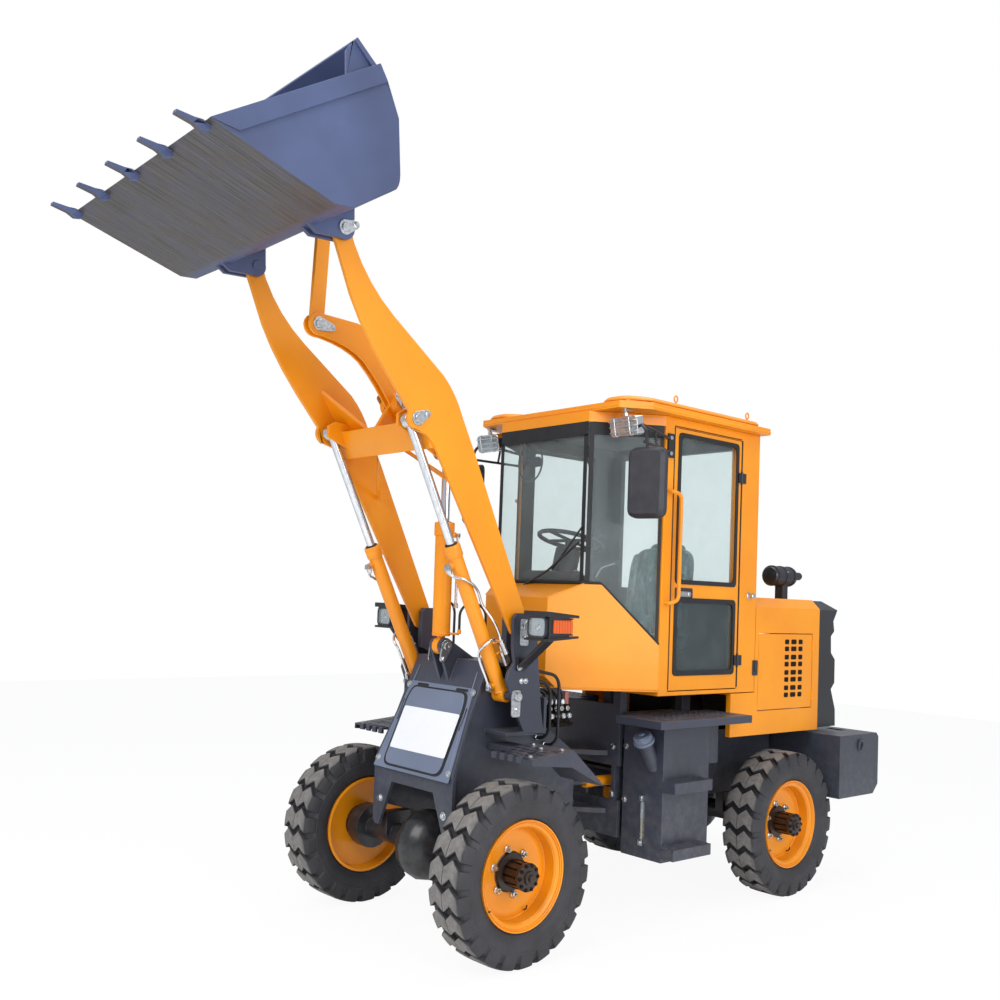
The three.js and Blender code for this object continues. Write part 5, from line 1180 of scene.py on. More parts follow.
    def keeper(self, x, z, fall=64):
        """A rectangular keeper plate on the outer upright, over a pin's end, with its bolt a distance
        fall below the pin."""
        plate = slab(rounded_outline(rectangle(136, 58, -fall * 0.55, 0), 14), (x, UPRIGHT_SIDE, z), UP,
                     FORWARD, 8, 1.5)
        return merged(plate,
                      turned([(0, 24), (16, 24), (19, 21), (19, 9), (17, 8), (17, 0)],
                             (x, UPRIGHT_SIDE + 8, z), OUT, 24),
                      bolt((x, UPRIGHT_SIDE + 8, z - fall), OUT, 19, 10))


class LOADER_OT_front(bpy.types.Operator):
    """The front plate's cover and blank sign, fender grips, lamps and bolts"""

    bl_idname = "loader.front"
    bl_label = "Front Frame Trim"

    DOWN = np.array((239.0, 0, -555)) / math.hypot(239, 555)

    def on_face(self, y, s, lift=0.0):
        """A place on the front plate: y across it, s down its slope, and lift off its surface."""
        return np.array((1003.0, y, 1405)) + self.DOWN * s + np.array((-self.DOWN[2], 0, self.DOWN[0])) * lift

    def plate(self, outline, thickness, edge=0.0, lift=0.0):
        """A flat plate on the front plate's face, its outline given across and down that face."""
        return slab(np.asarray(outline) * (1, -1), self.on_face(0, 0, lift), OUT, -self.DOWN, thickness, edge)

    def execute(self, context):
        self.cover()
        self.sign()
        for name, side in SIDES:
            self.fender(name, side)
            self.headlamp(name, side)
        self.fittings()
        return {"FINISHED"}

    def cover(self):
        """The front plate's field and its cover on a gasket, both in a lighter slate that is painted light,
        with slots drawn as dark plates of painted shade, and ribs and bolts round it.
        """
        body = "front_frame"
        n = np.array((-self.DOWN[2], 0, self.DOWN[0]))
        field = [(-262, 152), (262, 152), (318, 648), (-318, 648)]
        # Painted light: the field is a lighter copy of the slate laid over the front plate's face.
        piece("front_plate_lit_field", self.plate(rounded_outline(np.array(field, float), 8), 3.5, 1.2, -0.5),
              "face", body)
        cover = rounded_outline(np.array([(-212, 186), (212, 186), (232, 250), (232, 622), (-232, 622),
                                          (-232, 250)], float), 52, 6)
        middle = np.array((0, 404.0))
        groove = middle + (cover - middle) * (1.075, 1.045)
        piece("front_plate_gasket", self.plate(groove, 3.2, 1.5, 3.0), "rubber", body)
        piece("front_plate_cover", self.plate(cover, 9, 3, 3.4), "face", body)
        # Painted shade: each slot is a thin dark plate standing for the shade inside it.
        slots = [self.plate(rounded_outline(rectangle(96, 14, y, 168), 7), 1.2, 0, 3.1) for y in (-150, 176)]
        slots += [self.plate(rounded_outline(rectangle(10, 120, y, 320), 5), 1.2, 0, 3.1)
                  for y in (-262, 262)]
        piece("front_plate_slot_shades", merged(*slots), "rubber", body)
        # Painted light: the edge ribs take the lighter, lit slate.
        edges = [bar([self.on_face(y * 0.92, 60, 2), self.on_face(y, 338, 2), self.on_face(y * 1.13, 600, 2)],
                     3, 8) for y in (-262, 262)]
        piece("front_plate_ribs", merged(*edges), "face", body)
        centres = [self.on_face(y, s, 3) for y, s in ((-268, 176), (268, 176), (-296, 602), (296, 602))]
        low = [(1242, y, 640) for y in (-268, 268)]
        piece("front_plate_bolts", merged(bolts(centres, n, 24, 11), bolts(low, FORWARD, 27, 12)),
              "zinc", body)

    def sign(self):
        """A plain white enamelled plate with nothing on it."""
        outline = rounded_outline(np.array([(-222, 300), (238, 300), (238, 536), (-222, 536)], float), 12)
        piece("front_sign", self.plate(outline, 3, 0.8, 12.6), "white", "front_frame")

    def fender(self, name, side):
        """Turned-down tabs along the fender's front edge, oval grip slots pressed in its top, and bolts."""
        tabs = [block((1096, y, 950), (1111, y + 34, 981), 3) for y in (462, 522, 582, 642)]
        piece(f"{name}_fender_tabs", on_side(merged(*tabs), side), "slate", "front_frame")
        slope = math.atan2(25, -282)
        across = np.array((math.cos(slope), 0, math.sin(slope)))
        slots = []
        for row, x in enumerate((1052, 1002, 952, 902)):
            for column in range(4):
                y = 480 + column * 62 + (row % 2) * 24
                z = 978 + (1101 - x) * 25 / 282
                outline = rounded_outline(rectangle(44, 15), 7)
                slots.append(slab(outline, (x, y, z + 0.2), OUT, across, 1.2))
        piece(f"{name}_fender_grips", on_side(merged(*slots), side), "black", "front_frame",
              slot="tyre_rubber")
        heads = bolts([(1070, 700, 981.5), (860, 700, 1000), (860, 500, 1000), (905, 600, 996)], UP, 19, 9)
        strut = bolts([(908, UPRIGHT_SIDE, 1318), (878, UPRIGHT_SIDE, 1318)], OUT, 19, 9)
        strap = bolts([(905, 458, 1412), (936, 458, 1390)], OUT, 22, 11)
        piece(f"{name}_fender_bolts", on_side(merged(heads, strut, strap), side), "zinc", "front_frame")

    def headlamp(self, name, side):
        """A square clear lens in a black rim, and an orange lens that wraps round the outer corner."""
        rim = ring_slab(rounded_outline(rectangle(132, 108, 638, 1601), 30, 6),
                        rounded_outline(rectangle(112, 88, 638, 1601), 24, 6), (989, 0, 0), OUT, UP,
                        14)
        screws = bolts([(992, 578, 1650), (992, 578, 1552)], FORWARD, 9, 4)
        cap = merged(rim, screws, block((826, 707, 1564), (990, 716, 1571), 1),
                     block((826, 707, 1642), (990, 716, 1649), 1))
        piece(f"{name}_headlamp_rim", on_side(cap, side), "plastic", "front_frame", slot="tyre_rubber")
        bowl = slab(rounded_outline(rectangle(112, 88, 638, 1601), 24, 6), (990, 0, 0), OUT, UP, 3)
        bulb = turned([(0, 16), (5, 13), (8, 6), (8.5, 0)], (992, 638, 1601), FORWARD, 16)
        piece(f"{name}_headlamp_bowl", on_side(merged(bowl, bulb), side), "chrome", "front_frame")
        lens = slab(rounded_outline(rectangle(112, 88, 638, 1601), 24, 6), (996, 0, 0), OUT, UP, 9, 4)
        piece(f"{name}_headlamp_lens", on_side(lens, side), "lens", "front_frame")
        flutes = [block((x, 712, 1574), (x + 17, 722, 1639), 4) for x in np.arange(834, 950, 19)]
        piece(f"{name}_side_lamp", on_side(merged(*flutes), side), "orange", "front_frame")

    def fittings(self):
        """The valve bank behind the left upright with its pipes, the hoses' unions, and a primed bracket."""
        body = "front_frame"
        pitch = 44
        bank = [block((470 + k * pitch, 292, 1082), (508 + k * pitch, 372, 1178), 5) for k in range(4)]
        piece("valve_bank", merged(*bank, block((455, 286, 1062), (650, 380, 1084), 3)), "iron", body)
        fittings = []
        for k in range(4):
            fittings += [elbow_nut((489 + k * pitch, 330, 1178), UP, 28, 18),
                         elbow_nut((489 + k * pitch, 372, 1120), OUT, 26, 16),
                         bolt((489 + k * pitch, 372, 1158), OUT, 17, 9)]
        piece("valve_unions", merged(*fittings), "zinc", body)
        routes = []
        for k in range(4):
            x = 489 + k * pitch
            routes.append(np.array([(x, 330, 1196), (x, 330, 1226), (x + 20, 322 - 14 * k, 1252),
                                    (x + 70, 300 - 24 * k, 1240), (x + 110, 270 - 30 * k, 1190),
                                    (x + 120, 250 - 30 * k, 1110), (x + 120, 248 - 30 * k, 1042)]))
        loops = merged(*(carried(along_curve(route, 5), circle(9, 10)) for route in routes))
        piece("valve_pipes", loops, "hose", body)
        boss = [(0, 15), (10, 15), (12, 12), (12, 0)]
        bosses = merged(turned(boss, (580, 290, 960), OUT, 6), turned(boss, (640, 290, 1000), OUT, 6))
        piece("hose_unions", both_sides(bosses), "zinc", body)
        bracket = merged(block((425, 300, 1062), (452, 314, 1240), 2),
                         block((425, 300, 1062), (452, 340, 1074), 2))
        piece("primer_bracket", bracket, "primer", body)


def upright(a, b, low, high, thickness, lift=0.0):
    """An upright plate over the line between two plan points; it grows to the right of the way from a to
    b."""
    a, b = np.array((*a, 0.0)), np.array((*b, 0.0))
    across = (b - a) / np.linalg.norm(b - a)
    outward = np.cross(across, UP)
    outline = [(0, low), (np.linalg.norm(b - a), low), (np.linalg.norm(b - a), high), (0, high)]
    return slab(outline, a + outward * lift, across, UP, thickness)


def pad(centre, size, power=0.35, turns=0.0, rows=24):
    """A crowned cushion: a superellipsoid x = a c(u) c(v), y = b c(u) s(v), z = h s(u), where c and s are
    cosine and sine raised to power with their sign kept, leaned back about Y by turns."""
    u = np.linspace(-np.pi / 2, np.pi / 2, rows)[:, None]
    v = np.linspace(-np.pi, np.pi, rows * 2, endpoint=False)[None, :]

    def soft(value):
        return np.sign(value) * np.abs(value) ** power

    x = size[0] / 2 * soft(np.cos(u)) * soft(np.cos(v))
    y = size[1] / 2 * soft(np.cos(u)) * soft(np.sin(v))
    z = size[2] / 2 * soft(np.sin(u)) + 0 * v
    c, s = math.cos(turns), math.sin(turns)
    points = np.stack([x * c + z * s, y, -x * s + z * c], 2)
    return grid(points + np.asarray(centre, float), wrap_v=True)


class LOADER_OT_cab(bpy.types.Operator):
    """Seals, mirrors, lamps, handles, hinges and wiper of the cab"""

    bl_idname = "loader.cab"
    bl_label = "Cab Trim"

    FRONT, NOSE, PILLAR = 373.0, 355.0, (15.0, 586.0)
    HINGES = (1420, 2510)

    def execute(self, context):
        seal = context.scene.loader_trim.seal / MM
        self.seals(seal)
        self.door(seal)
        self.roof()
        for name, side in SIDES:
            self.mirror(name, side)
            self.work_lamp(name, side)
            self.handle(name, side)
        self.wiper()
        self.cowl()
        return {"FINISHED"}

    def seals(self, seal):
        """The rubber round the windshield and the corner panes, and round the right side's windows."""
        corner, nose = (self.FRONT, self.NOSE), (self.FRONT, -self.NOSE)
        band = merged(upright(nose, corner, 2652, 2732, 3, 12),
                      upright(corner, self.PILLAR, 2662, 2732, 3, 1),
                      flipped(upright(corner, self.PILLAR, 2662, 2732, 3, 1)))
        post = merged(upright((self.FRONT, self.NOSE - seal), corner, 1832, 2660, 3, 12),
                      upright(corner, (self.FRONT - 22, self.NOSE + 14), 1832, 2660, 3, 1),
                      upright((30, 576), self.PILLAR, 1520, 2665, 4, 1))
        sill = [(15, 590, 1512), (300, 406, 1836), (374, 360, 1836), (388, 352, 1836)]
        strip = bar([*sill, *(np.array(sill[::-1]) * (1, -1, 1))], 10, 8)
        piece("cab_front_seals", merged(band, both_sides(post), strip), "rubber", "rear_frame")
        panes = [((-658, -600.5), (-112, -600.5), low, high) for low, high in ((1362, 1752), (1880, 2698))]
        frames = []
        for a, b, low, high in panes:
            outer, inner = self.frame(b[0] - a[0], high - low, seal)
            frames.append(ring_slab(outer, inner, (a[0], -601, low), FORWARD, UP, 4))
        piece("cab_side_seals", merged(*frames), "rubber", "rear_frame")

    def frame(self, width, height, seal):
        """The outlines of a rubber frame round a window with rounded corners."""
        middle = (width / 2, height / 2)
        return (rounded_outline(rectangle(width + seal, height + seal, *middle), 30, 5),
                rounded_outline(rectangle(width - seal, height - seal, *middle), 34, 5))

    def door(self, seal):
        """The door's rubber, lock, lower pane, hinges and catch, and the right side's lower pane."""
        frames = []
        for low, high in ((1866, 2698), (1350, 1764)):
            outer, inner = self.frame(546, high - low, seal)
            frames.append(ring_slab(outer[:, ::-1], inner[:, ::-1], (-658, 600, low), UP, FORWARD, 5))
        x = np.array((-706.0, -64.0))
        gap = bar([(x[0], 600.5, 1262), (x[0], 600.5, 2734), (x[1], 600.5, 2734), (x[1], 600.5, 1262)], 4, 6)
        recess = side_plate(rounded_outline(rectangle(70, 158, 1798, -182), 10), 599, 3.5)
        piece("door_seals", merged(*frames), "rubber", "cab_door")
        piece("doorway_seal", gap, "rubber", "rear_frame")
        piece("door_lock_recess", recess, "plastic", "cab_door")
        lock = merged(side_plate(rounded_outline(rectangle(30, 118, 1798, -182), 12), 602, 6, 2),
                      turned([(0, 13), (6, 13), (8, 10), (8, 0)], (-222, 606, 1798), OUT, 18),
                      side_plate(rounded_outline(rectangle(16, 62, 1798, -160), 7), 608, 8, 2))
        piece("door_lock", lock, "zinc", "cab_door")
        pane = side_plate(rectangle(414, 546, 1557, -385), 586, 5)
        piece("door_lower_pane", pane, "tinted", "cab_door")
        pane = side_plate(rectangle(414, 570, 1557, -385), -586, 5)
        piece("right_lower_pane", pane, "tinted", "rear_frame")
        hinges = merged(*(block((-745, 600, z - 30), (-708, 605, z + 30), 1) for z in self.HINGES))
        piece("door_hinges", hinges, "black", "rear_frame")
        leaves = merged(*(merged(bar([(-700, 605, z - 38), (-700, 605, z + 38)], 7, 12),
                                 block((-692, 600, z - 30), (-660, 605, z + 30), 1)) for z in self.HINGES))
        piece("door_hinge_leaves", leaves, "black", "cab_door")
        catch = merged(turned([(0, 22), (5, 22), (7, 19), (7, 12), (26, 12), (28, 17), (38, 17), (41, 13),
                               (41, 0)], (-806, 600, 1806), OUT, 20))
        piece("door_catch", catch, "zinc", "rear_frame")

    def roof(self):
        """Two raised bands along the roof's sides, a drip edge, four lifting eyes, and a dark headliner
        below, whose near-black plastic is also painted shade under the roof."""
        bands = []
        for side in (1, -1):
            outline = rounded_outline(
                np.array([(-850, 330), (250, 330), (330, 420), (318, 560), (190, 628), (-850, 628)], float),
                46)
            shape = slab(outline, (0, 0, 2843), FORWARD, OUT, 24, 16)
            bands.append(shape if side > 0 else flipped(shape))
        rim = bar([(-905, 655, 2806), (196, 655, 2806), (360, 556, 2806), (360, -556, 2806),
                   (196, -655, 2806), (-905, -655, 2806)], 9, 8)
        plan = np.array([(-840, -556), (-12, -556), (326, -330), (326, 330), (-12, 556), (-840, 556)], float)
        # Painted shade: the near-black headliner is a real part and also stands for the shade under the cab
        # roof.
        piece("headliner", slab(plan, (0, 0, 2776), FORWARD, OUT, 9, 2), "plastic", "rear_frame")
        piece("roof_bands", merged(*bands, rim), "yellow", "rear_frame", soft=0.004)
        eyes = []
        for x, y in ((-112, 560), (-112, -560), (-800, 560), (-800, -560)):
            angle = np.linspace(0, 2 * np.pi, 20, endpoint=False)
            loop = np.array((x, y, 2906.0)) + np.stack([np.cos(angle) * 15, 0 * angle, np.sin(angle) * 18], 1)
            eyes += [carried(loop, circle(4.5, 8), True), bar([(x, y, 2860), (x, y, 2890)], 6, 8)]
        piece("roof_eyes", merged(*eyes), "yellow", "rear_frame")

    def mirror(self, name, side):
        """A moulded mirror shell with a flange round its glass, on a loop of bent bar from the front
        pillar."""
        c, s = math.cos(math.radians(15)), math.sin(math.radians(15))
        across, ahead = np.array((-s, c, 0)), np.array((c, s, 0))
        centre = np.array((300.0, 712, 2379))
        outline = rounded_outline(rectangle(212, 376), 52, 6)
        shell = merged(slab(outline, centre - ahead * 22, across, UP, 50, 20),
                       slab(outline * 1.015, centre - ahead * 29, across, UP, 10, 2))
        made = piece(f"{name}_mirror_shell", on_side(shell, side), "plastic", "rear_frame", soft=0.006)
        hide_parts(f"{name}_mirror")
        glass = slab(rounded_outline(rectangle(190, 350), 44, 5), centre - ahead * 29.4, -across, UP, 1.4)
        piece(f"{name}_mirror_glass", on_side(glass, side), "chrome", "rear_frame")
        loop = bar([(-20, 604, 2662), (292, 652, 2700), (306, 704, 2660), (306, 714, 2566)], 9, 10, 36)
        brace = merged(bar([(-20, 604, 2588), (296, 684, 2600)], 8, 10),
                       bar([(150, 630, 2680), (150, 648, 2594)], 7, 8))
        foot = block((-46, 600, 2556), (2, 612, 2692), 3)
        made = piece(f"{name}_mirror_arm", on_side(merged(loop, brace, foot), side), "black", "rear_frame")
        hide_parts(f"{name}_mirror")
        heads = bolts([(-22, 612, 2580), (-22, 612, 2668)], OUT, 15, 7)
        piece(f"{name}_mirror_bolts", on_side(heads, side), "zinc", "rear_frame")

    def work_lamp(self, name, side):
        """A pressed chrome lamp hung under the roof, with a ribbed lens and a wire guard."""
        tip = math.radians(-12)
        up = np.array((math.sin(-tip), 0, math.cos(tip)))
        ahead = np.array((math.cos(tip), 0, math.sin(tip)))
        centre = np.array((318.0, 556, 2692))
        outline = rounded_outline(rectangle(196, 108), 26, 5)
        shell = merged(slab(outline, centre - ahead * 50, OUT, up, 56, 3),
                       slab(outline * 0.72, centre - ahead * 74, OUT, up, 26, 2))
        piece(f"{name}_work_lamp", on_side(shell, side), "chrome", "rear_frame", soft=0.004)
        lens = slab(rounded_outline(rectangle(180, 92), 20, 5), centre + ahead * 6, OUT, up, 5, 3)
        piece(f"{name}_work_lamp_lens", on_side(lens, side), "lens", "rear_frame")
        wires = [bar([centre + OUT * -98 + up * h, centre + OUT * -92 + up * h + ahead * 18, centre + OUT * 92
                      + up * h + ahead * 18, centre + OUT * 98 + up * h], 3, 6, 8) for h in (-30, 0, 30)]
        wires += [bar([centre + OUT * y + up * 54, centre + OUT * y + up * 48 + ahead * 18,
                       centre + OUT * y - up * 48 + ahead * 18, centre + OUT * y - up * 54], 3, 6, 8)
                  for y in (-52, 52)]
        stalk = merged(bar([centre + up * 50 - ahead * 24, centre + up * 100 - ahead * 24], 7, 10),
                       block(centre + (-46, -20, 84), centre + (-4, 20, 94), 2),
                       elbow_nut(centre + up * 56 - ahead * 24, up, 24, 12))
        piece(f"{name}_work_lamp_guard", on_side(merged(*wires, stalk), side), "zinc", "rear_frame")

    def handle(self, name, side):
        """A bent grab rail that stands off the front pillar on two round feet."""
        rail = bar([(-8, 598, 2366), (-8, 642, 2366), (-72, 652, 2352), (-72, 652, 1760), (-8, 642, 1742),
                    (-8, 598, 1742)], 11, 12, 34)
        feet = merged(
            *(turned([(0, 19), (4, 19), (5, 17), (5, 0)], (-8, 600, z), OUT, 18) for z in (2366, 1742)))
        piece(f"{name}_grab_rail", on_side(merged(rail, feet), side), "yellow", "rear_frame")

    def wiper(self):
        """The wiper: a long arm and its blade, standing off the windshield, and the motor's boot at its
        foot."""
        arm = merged(bar([(404, -150, 1792), (410, 100, 1900), (402, 330, 2060)], 7, 8),
                     bar([(404, -150, 1792), (396, -150, 1792)], 15, 12))
        blade = merged(bar([(394, 120, 1912), (392, 345, 2150)], 5, 6),
                       bar([(388, 116, 1906), (386, 349, 2156)], 3, 6))
        piece("wiper", merged(arm, blade), "black", "rear_frame")

    def cowl(self):
        """A pressed swage round the cowl's side, and the seam along its foot."""
        seams = [bar([(18, 600.5, 1262), (548, 262, 1262)], 3, 6),
                 bar([(385, 362, 1832), (552, 257, 1752)], 4, 6)]
        piece("cowl_seams", both_sides(merged(*seams)), "yellow", "rear_frame")


class LOADER_OT_inside(bpy.types.Operator):
    """Seat, dashboard, levers and fan inside the cab"""

    bl_idname = "loader.inside"
    bl_label = "Cab Inside"

    def execute(self, context):
        body = "rear_frame"
        lean = math.atan2(-75, 560)
        seat = merged(pad((-510, 0, 1500), (470, 472, 108)), pad((-712, 0, 1800), (96, 448, 590), 0.35, lean),
                      pad((-772, 0, 2068), (76, 260, 120), 0.5, lean))
        made = piece("seat_cushions", seat, "cloth", body, crease=60)
        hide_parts("seat")
        rolls = merged(*(pad((-690, 205 * side, 1800), (90, 60, 520), 0.6, lean) for side in (1, -1)),
                       *(pad((-500, 215 * side, 1536), (430, 60, 56), 0.6) for side in (1, -1)))
        piece("seat_rolls", rolls, "cloth", body, crease=60)
        dash = merged(block((170, -330, 1560), (340, 330, 1850), 26),
                      block((205, -200, 1850), (325, 200, 1905), 20))
        piece("dashboard", dash, "plastic", body, soft=0.01)
        dials = merged(*(ring([(0, 30), (8, 30), (8, 36), (0, 36)], (204, y, 1878), (-1, 0, 0), 24)
                         for y in (-120, -40, 40, 120)))
        piece("dials", dials, "zinc", body)
        levers, knobs = [], []
        for k, (x, y) in enumerate(((-150, -440), (-205, -440), (-260, -440), (60, 150), (110, -150))):
            foot = np.array((x, y, 1690.0 if k < 3 else 1880))
            top = foot + ((-30, 6, 170) if k < 3 else (-120, 60, 90))
            levers.append(bar([foot, foot + (top - foot) * (0.2, 0.2, 0.6), top], 6, 8, 30))
            knobs.append(turned([(-22, 8), (-14, 15), (6, 18), (20, 14), (26, 6), (27, 0)], top, top - foot,
                                14))
        knobs.append(turned([(-6, 10), (10, 12), (22, 24), (36, 26), (50, 18), (55, 0)], (20, 150, 2085),
                            (-0.25, 0, 1), 18))
        piece("levers", merged(*levers), "chrome", body)
        piece("lever_knobs", merged(*knobs), "plastic", body)
        fan = [ring([(0, 118), (6, 124), (14, 118), (6, 112)], (250, -250, 2560), (-0.8, 0.1, 0), 32),
               turned([(-40, 22), (10, 26), (22, 16), (24, 0)], (250, -250, 2560), (-0.8, 0.1, 0), 20),
               bar([(285, -250, 2560), (300, -250, 2640), (300, -250, 2735)], 9, 8, 20)]
        for angle in np.linspace(0, 2 * np.pi, 3, endpoint=False):
            away = np.array((0, math.cos(angle), math.sin(angle)))
            fan.append(slab(rounded_outline(rectangle(90, 62, 58, 0), 26), (246, -250, 2560), away,
                            np.cross(FORWARD, away) + (0.3, 0, 0), 2))
        piece("cab_fan", merged(*fan), "plastic", body)
        return {"FINISHED"}


class LOADER_OT_hull(bpy.types.Operator):
    """Hood openings and latches, tank filler and gauge, step treads, rear lamps and bolts"""

    bl_idname = "loader.hull"
    bl_label = "Body Trim"

    def execute(self, context):
        for name, side in SIDES:
            self.hood_side(name, side)
            self.tank(name, side)
            self.frame_bolts(name, side)
        self.rear()
        self.cleaner()
        return {"FINISHED"}

    def hood_side(self, name, side):
        """Four groups of rounded openings in the hood's door, drawn as thin dark plates of painted shade, its
        latch, and the fixed latch before it.
        """
        y = span(f"{name}_hood_door")[1][1] if side > 0 else -span(f"{name}_hood_door")[0][1]
        hole_shades = []
        for row in (1508, 1412, 1316, 1220):
            for lift in (22, -22):
                for column, x in enumerate((-1232, -1308, -1384)):
                    wide = 60 if column % 2 else 46
                    outline = rounded_outline(rectangle(30, wide, row + lift, x), 9)
                    hole_shades.append(side_plate(outline, y - 0.4, 1.0))
        # Painted shade: the openings are dark plates on the door, standing for the shade seen through them.
        piece(f"{name}_hood_opening_shades", on_side(merged(*hole_shades), side), "iron", f"{name}_hood_door")
        latch = merged(side_plate(rounded_outline(rectangle(92, 52, 1372, -888), 8), 600, 6, 2),
                       side_plate(rounded_outline(rectangle(64, 26, 1380, -888), 8), 606, 7, 2))
        piece(f"{name}_hood_latch", on_side(latch, side), "plastic", "rear_frame")
        hinge = merged(*(bar([(-1524, y + 3, z - 34), (-1524, y + 3, z + 34)], 8, 10) for z in (1190, 1500)))
        piece(f"{name}_hood_hinges", on_side(hinge, side), "yellow", "rear_frame")

    def tank(self, name, side):
        """A slanting filler neck with a knurled cap, a sight gauge, and grip studs on the steps and shelf."""
        foot, mouth = np.array((-45.0, 540, 822)), np.array((52.0, 538, 985))
        d = (mouth - foot) / np.linalg.norm(mouth - foot)
        neck = turned([(0, 40), (150, 40), (152, 47), (176, 47), (178, 40), (178, 0)], foot, d, 28)
        piece(f"{name}_filler_neck", on_side(neck, side), "slate", "rear_frame")
        cap = merged(turned([(170, 40), (170, 58), (176, 60), (184, 60), (188, 52), (214, 50), (222, 44),
                             (224, 30), (224, 0)], foot, d, 40),
                     turned([(222, 20), (232, 17), (233, 0)], foot, d, 6))
        ribs = []
        n, m = basis(d)[1:]
        for angle in np.linspace(0, 2 * np.pi, 24, endpoint=False):
            away = n * math.cos(angle) + m * math.sin(angle)
            ribs.append(bar([foot + d * 190 + away * 51, foot + d * 214 + away * 50], 2.4, 5))
        # Painted light: the black plastic cap is drawn in the lighter, lit slate.
        piece(f"{name}_filler_cap", on_side(merged(cap, *ribs), side), "face", "rear_frame",
              slot="black_plastic")
        gauge = bar([(-14, 487, 420), (-14, 487, 636)], 9, 12)
        piece(f"{name}_sight_glass", on_side(gauge, side), "lens", "rear_frame")
        level = bar([(-14, 487, 420), (-14, 487, 540)], 5, 8)
        piece(f"{name}_sight_level", on_side(level, side), "brass", "rear_frame")
        ends = merged(
            *(merged(block((-26, 472, z - 17), (-4, 502, z + 17), 4), bolt((-4, 487, z), FORWARD, 20, 10))
              for z in (406, 650)), block((-25, 477, 420), (-22, 497, 636), 1))
        piece(f"{name}_sight_ends", on_side(ends, side), "zinc", "rear_frame")
        studs = []
        for top in (402, 762):
            for x in np.arange(-345, -30, 22):
                for k, y in enumerate((636, 660, 684)):
                    studs.append(slab(rounded_outline(rectangle(13, 11), 3, 2),
                                      (x + (k % 2) * 9, y, top - 0.3), FORWARD, OUT, 3.6, 1.6))
        rims = [bar([(-358, 703, z), (-28, 703, z)], 3, 6) for z in (400, 760)]
        piece(f"{name}_step_grips", on_side(merged(*studs, *rims), side), "slate", "rear_frame")
        rows = []
        for x in np.arange(-600, 150, 50):
            for k, y in enumerate((500, 560, 620, 680)):
                rows.append(slab(rounded_outline(rectangle(30, 12), 5, 3), (x + (k % 2) * 22, y, 1113),
                                 FORWARD, OUT, 2.5, 1.2))
        edge = bar([(-640, 758, 1111), (170, 758, 1111)], 3.5, 6)
        piece(f"{name}_shelf_grips", on_side(merged(*rows, edge), side), "slate", "rear_frame")

    def frame_bolts(self, name, side):
        """The cross member's bolts, and a lashing hook on the counterweight's side."""
        heads = bolts([(0.5, 272, 907), (0.5, 272, 640), (-24.5, 348, 621), (-24.5, 348, 920)], FORWARD, 24,
                      12)
        angle = np.linspace(0, 2 * np.pi, 18, endpoint=False)
        loop = np.array((-1800.0, 797, 872)) + np.stack(
            [np.cos(angle) * 26, 6 * np.sin(angle), np.sin(angle) * 34], 1)
        hook = merged(carried(loop, circle(7, 8), True), block((-1822, 788, 896), (-1778, 800, 916), 3))
        piece(f"{name}_frame_bolts", on_side(heads, side), "zinc", "rear_frame")
        piece(f"{name}_lashing_hook", on_side(hook, side), "slate", "rear_frame")

    def rear(self):
        """Grille slats in the rear fascia, and a stop lamp and a turn lamp a side on the counterweight."""
        x = span("rear_fascia")[0][0] + 90
        slats = []
        for z in np.arange(1080, 1600, 40):
            slats.append(block((x - 6, -430, z), (x + 12, 430, z + 16), 4))
        piece("rear_grille", merged(*slats), "plastic", "rear_frame")
        back = (span("counterweight")[0][0], 0, 0)
        for name, side in SIDES:
            lens = slab(rounded_outline(rectangle(58, 84, 870, 560), 10), back, UP, OUT, 14, 5)
            amber = slab(rounded_outline(rectangle(58, 60, 870, 660), 10), back, UP, OUT, 14, 5)
            piece(f"{name}_stop_lamp", on_side(lens, side), "red", "rear_frame")
            piece(f"{name}_rear_turn_lamp", on_side(amber, side), "orange", "rear_frame")

    def cleaner(self):
        """Bands and a rain cap on the air cleaner."""
        bands = merged(*(ring([(0, 64), (0, 67.5), (14, 67.5), (14, 64)], (x, 400, 1950), FORWARD, 36)
                         for x in (-1530, -1440, -1352)),
                       turned([(0, 60), (10, 52), (16, 30), (17, 0)], (-1331, 400, 1950), FORWARD, 30))
        piece("cleaner_bands", bands, "black", "rear_frame")
        clips = merged(*(bar([(-1446, 400 + 66 * math.cos(a), 1950 + 66 * math.sin(a)),
                              (-1420, 400 + 72 * math.cos(a), 1950 + 72 * math.sin(a))], 4, 8)
                         for a in (0.4, 2.4, 4.4)))
        piece("cleaner_clips", clips, "zinc", "rear_frame")


class LOADER_PT_panel(bpy.types.Panel):
    """Shows the builders' buttons and their settings in the 3D view's sidebar"""

    bl_label = "Wheel Loader"
    bl_idname = "LOADER_PT_panel"
    bl_space_type = "VIEW_3D"
    bl_region_type = "UI"
    bl_category = "Loader"

    def draw(self, context):
        for operator in OPERATORS:
            self.layout.operator(operator.bl_idname)
        for group in ("loader_stage", "loader_wheels", "loader_trim"):
            settings = getattr(context.scene, group)
            for name in settings.bl_rna.properties.keys():
                if name not in ("rna_type", "name"):
                    self.layout.prop(settings, name)


SETTINGS = {"loader_stage": StageSettings, "loader_wheels": WheelSettings, "loader_trim": TrimSettings}
OPERATORS = (
    LOADER_OT_stage, LOADER_OT_hoses, LOADER_OT_finishes, LOADER_OT_wheels, LOADER_OT_arm, LOADER_OT_front,
    LOADER_OT_cab, LOADER_OT_inside, LOADER_OT_hull,
)


def register():
    for group in SETTINGS.values():
        bpy.utils.register_class(group)
    for name, group in SETTINGS.items():
        setattr(bpy.types.Scene, name, bpy.props.PointerProperty(type=group))
    for operator in OPERATORS:
        bpy.utils.register_class(operator)
    bpy.utils.register_class(LOADER_PT_panel)


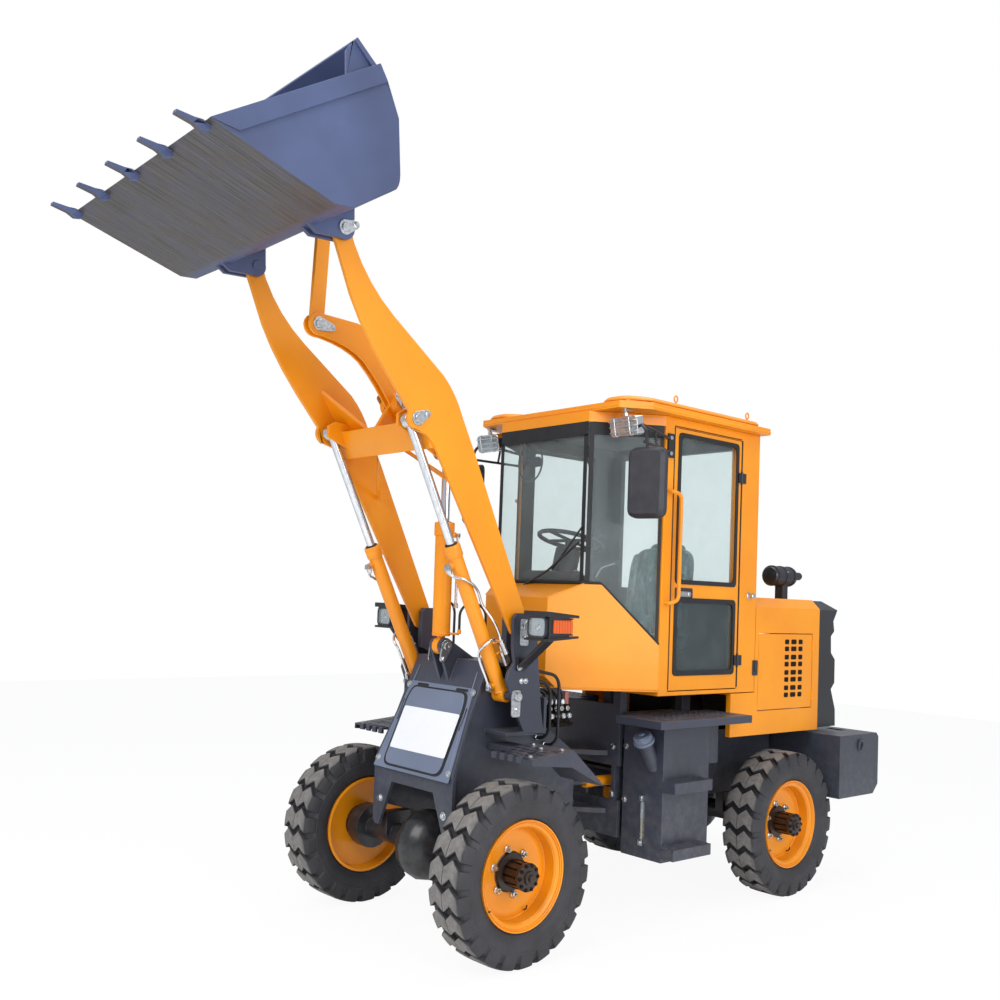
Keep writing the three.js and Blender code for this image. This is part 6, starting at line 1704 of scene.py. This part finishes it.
def unregister():
    bpy.utils.unregister_class(LOADER_PT_panel)
    for operator in reversed(OPERATORS):
        bpy.utils.unregister_class(operator)
    for name in SETTINGS:
        delattr(bpy.types.Scene, name)
    for group in SETTINGS.values():
        bpy.utils.unregister_class(group)


def main():
    """Builds every piece in order."""
    register()
    mix_finishes()
    for operator in OPERATORS:
        group, name = operator.bl_idname.split(".")
        getattr(getattr(bpy.ops, group), name)()


if __name__ == "__main__":
    main()
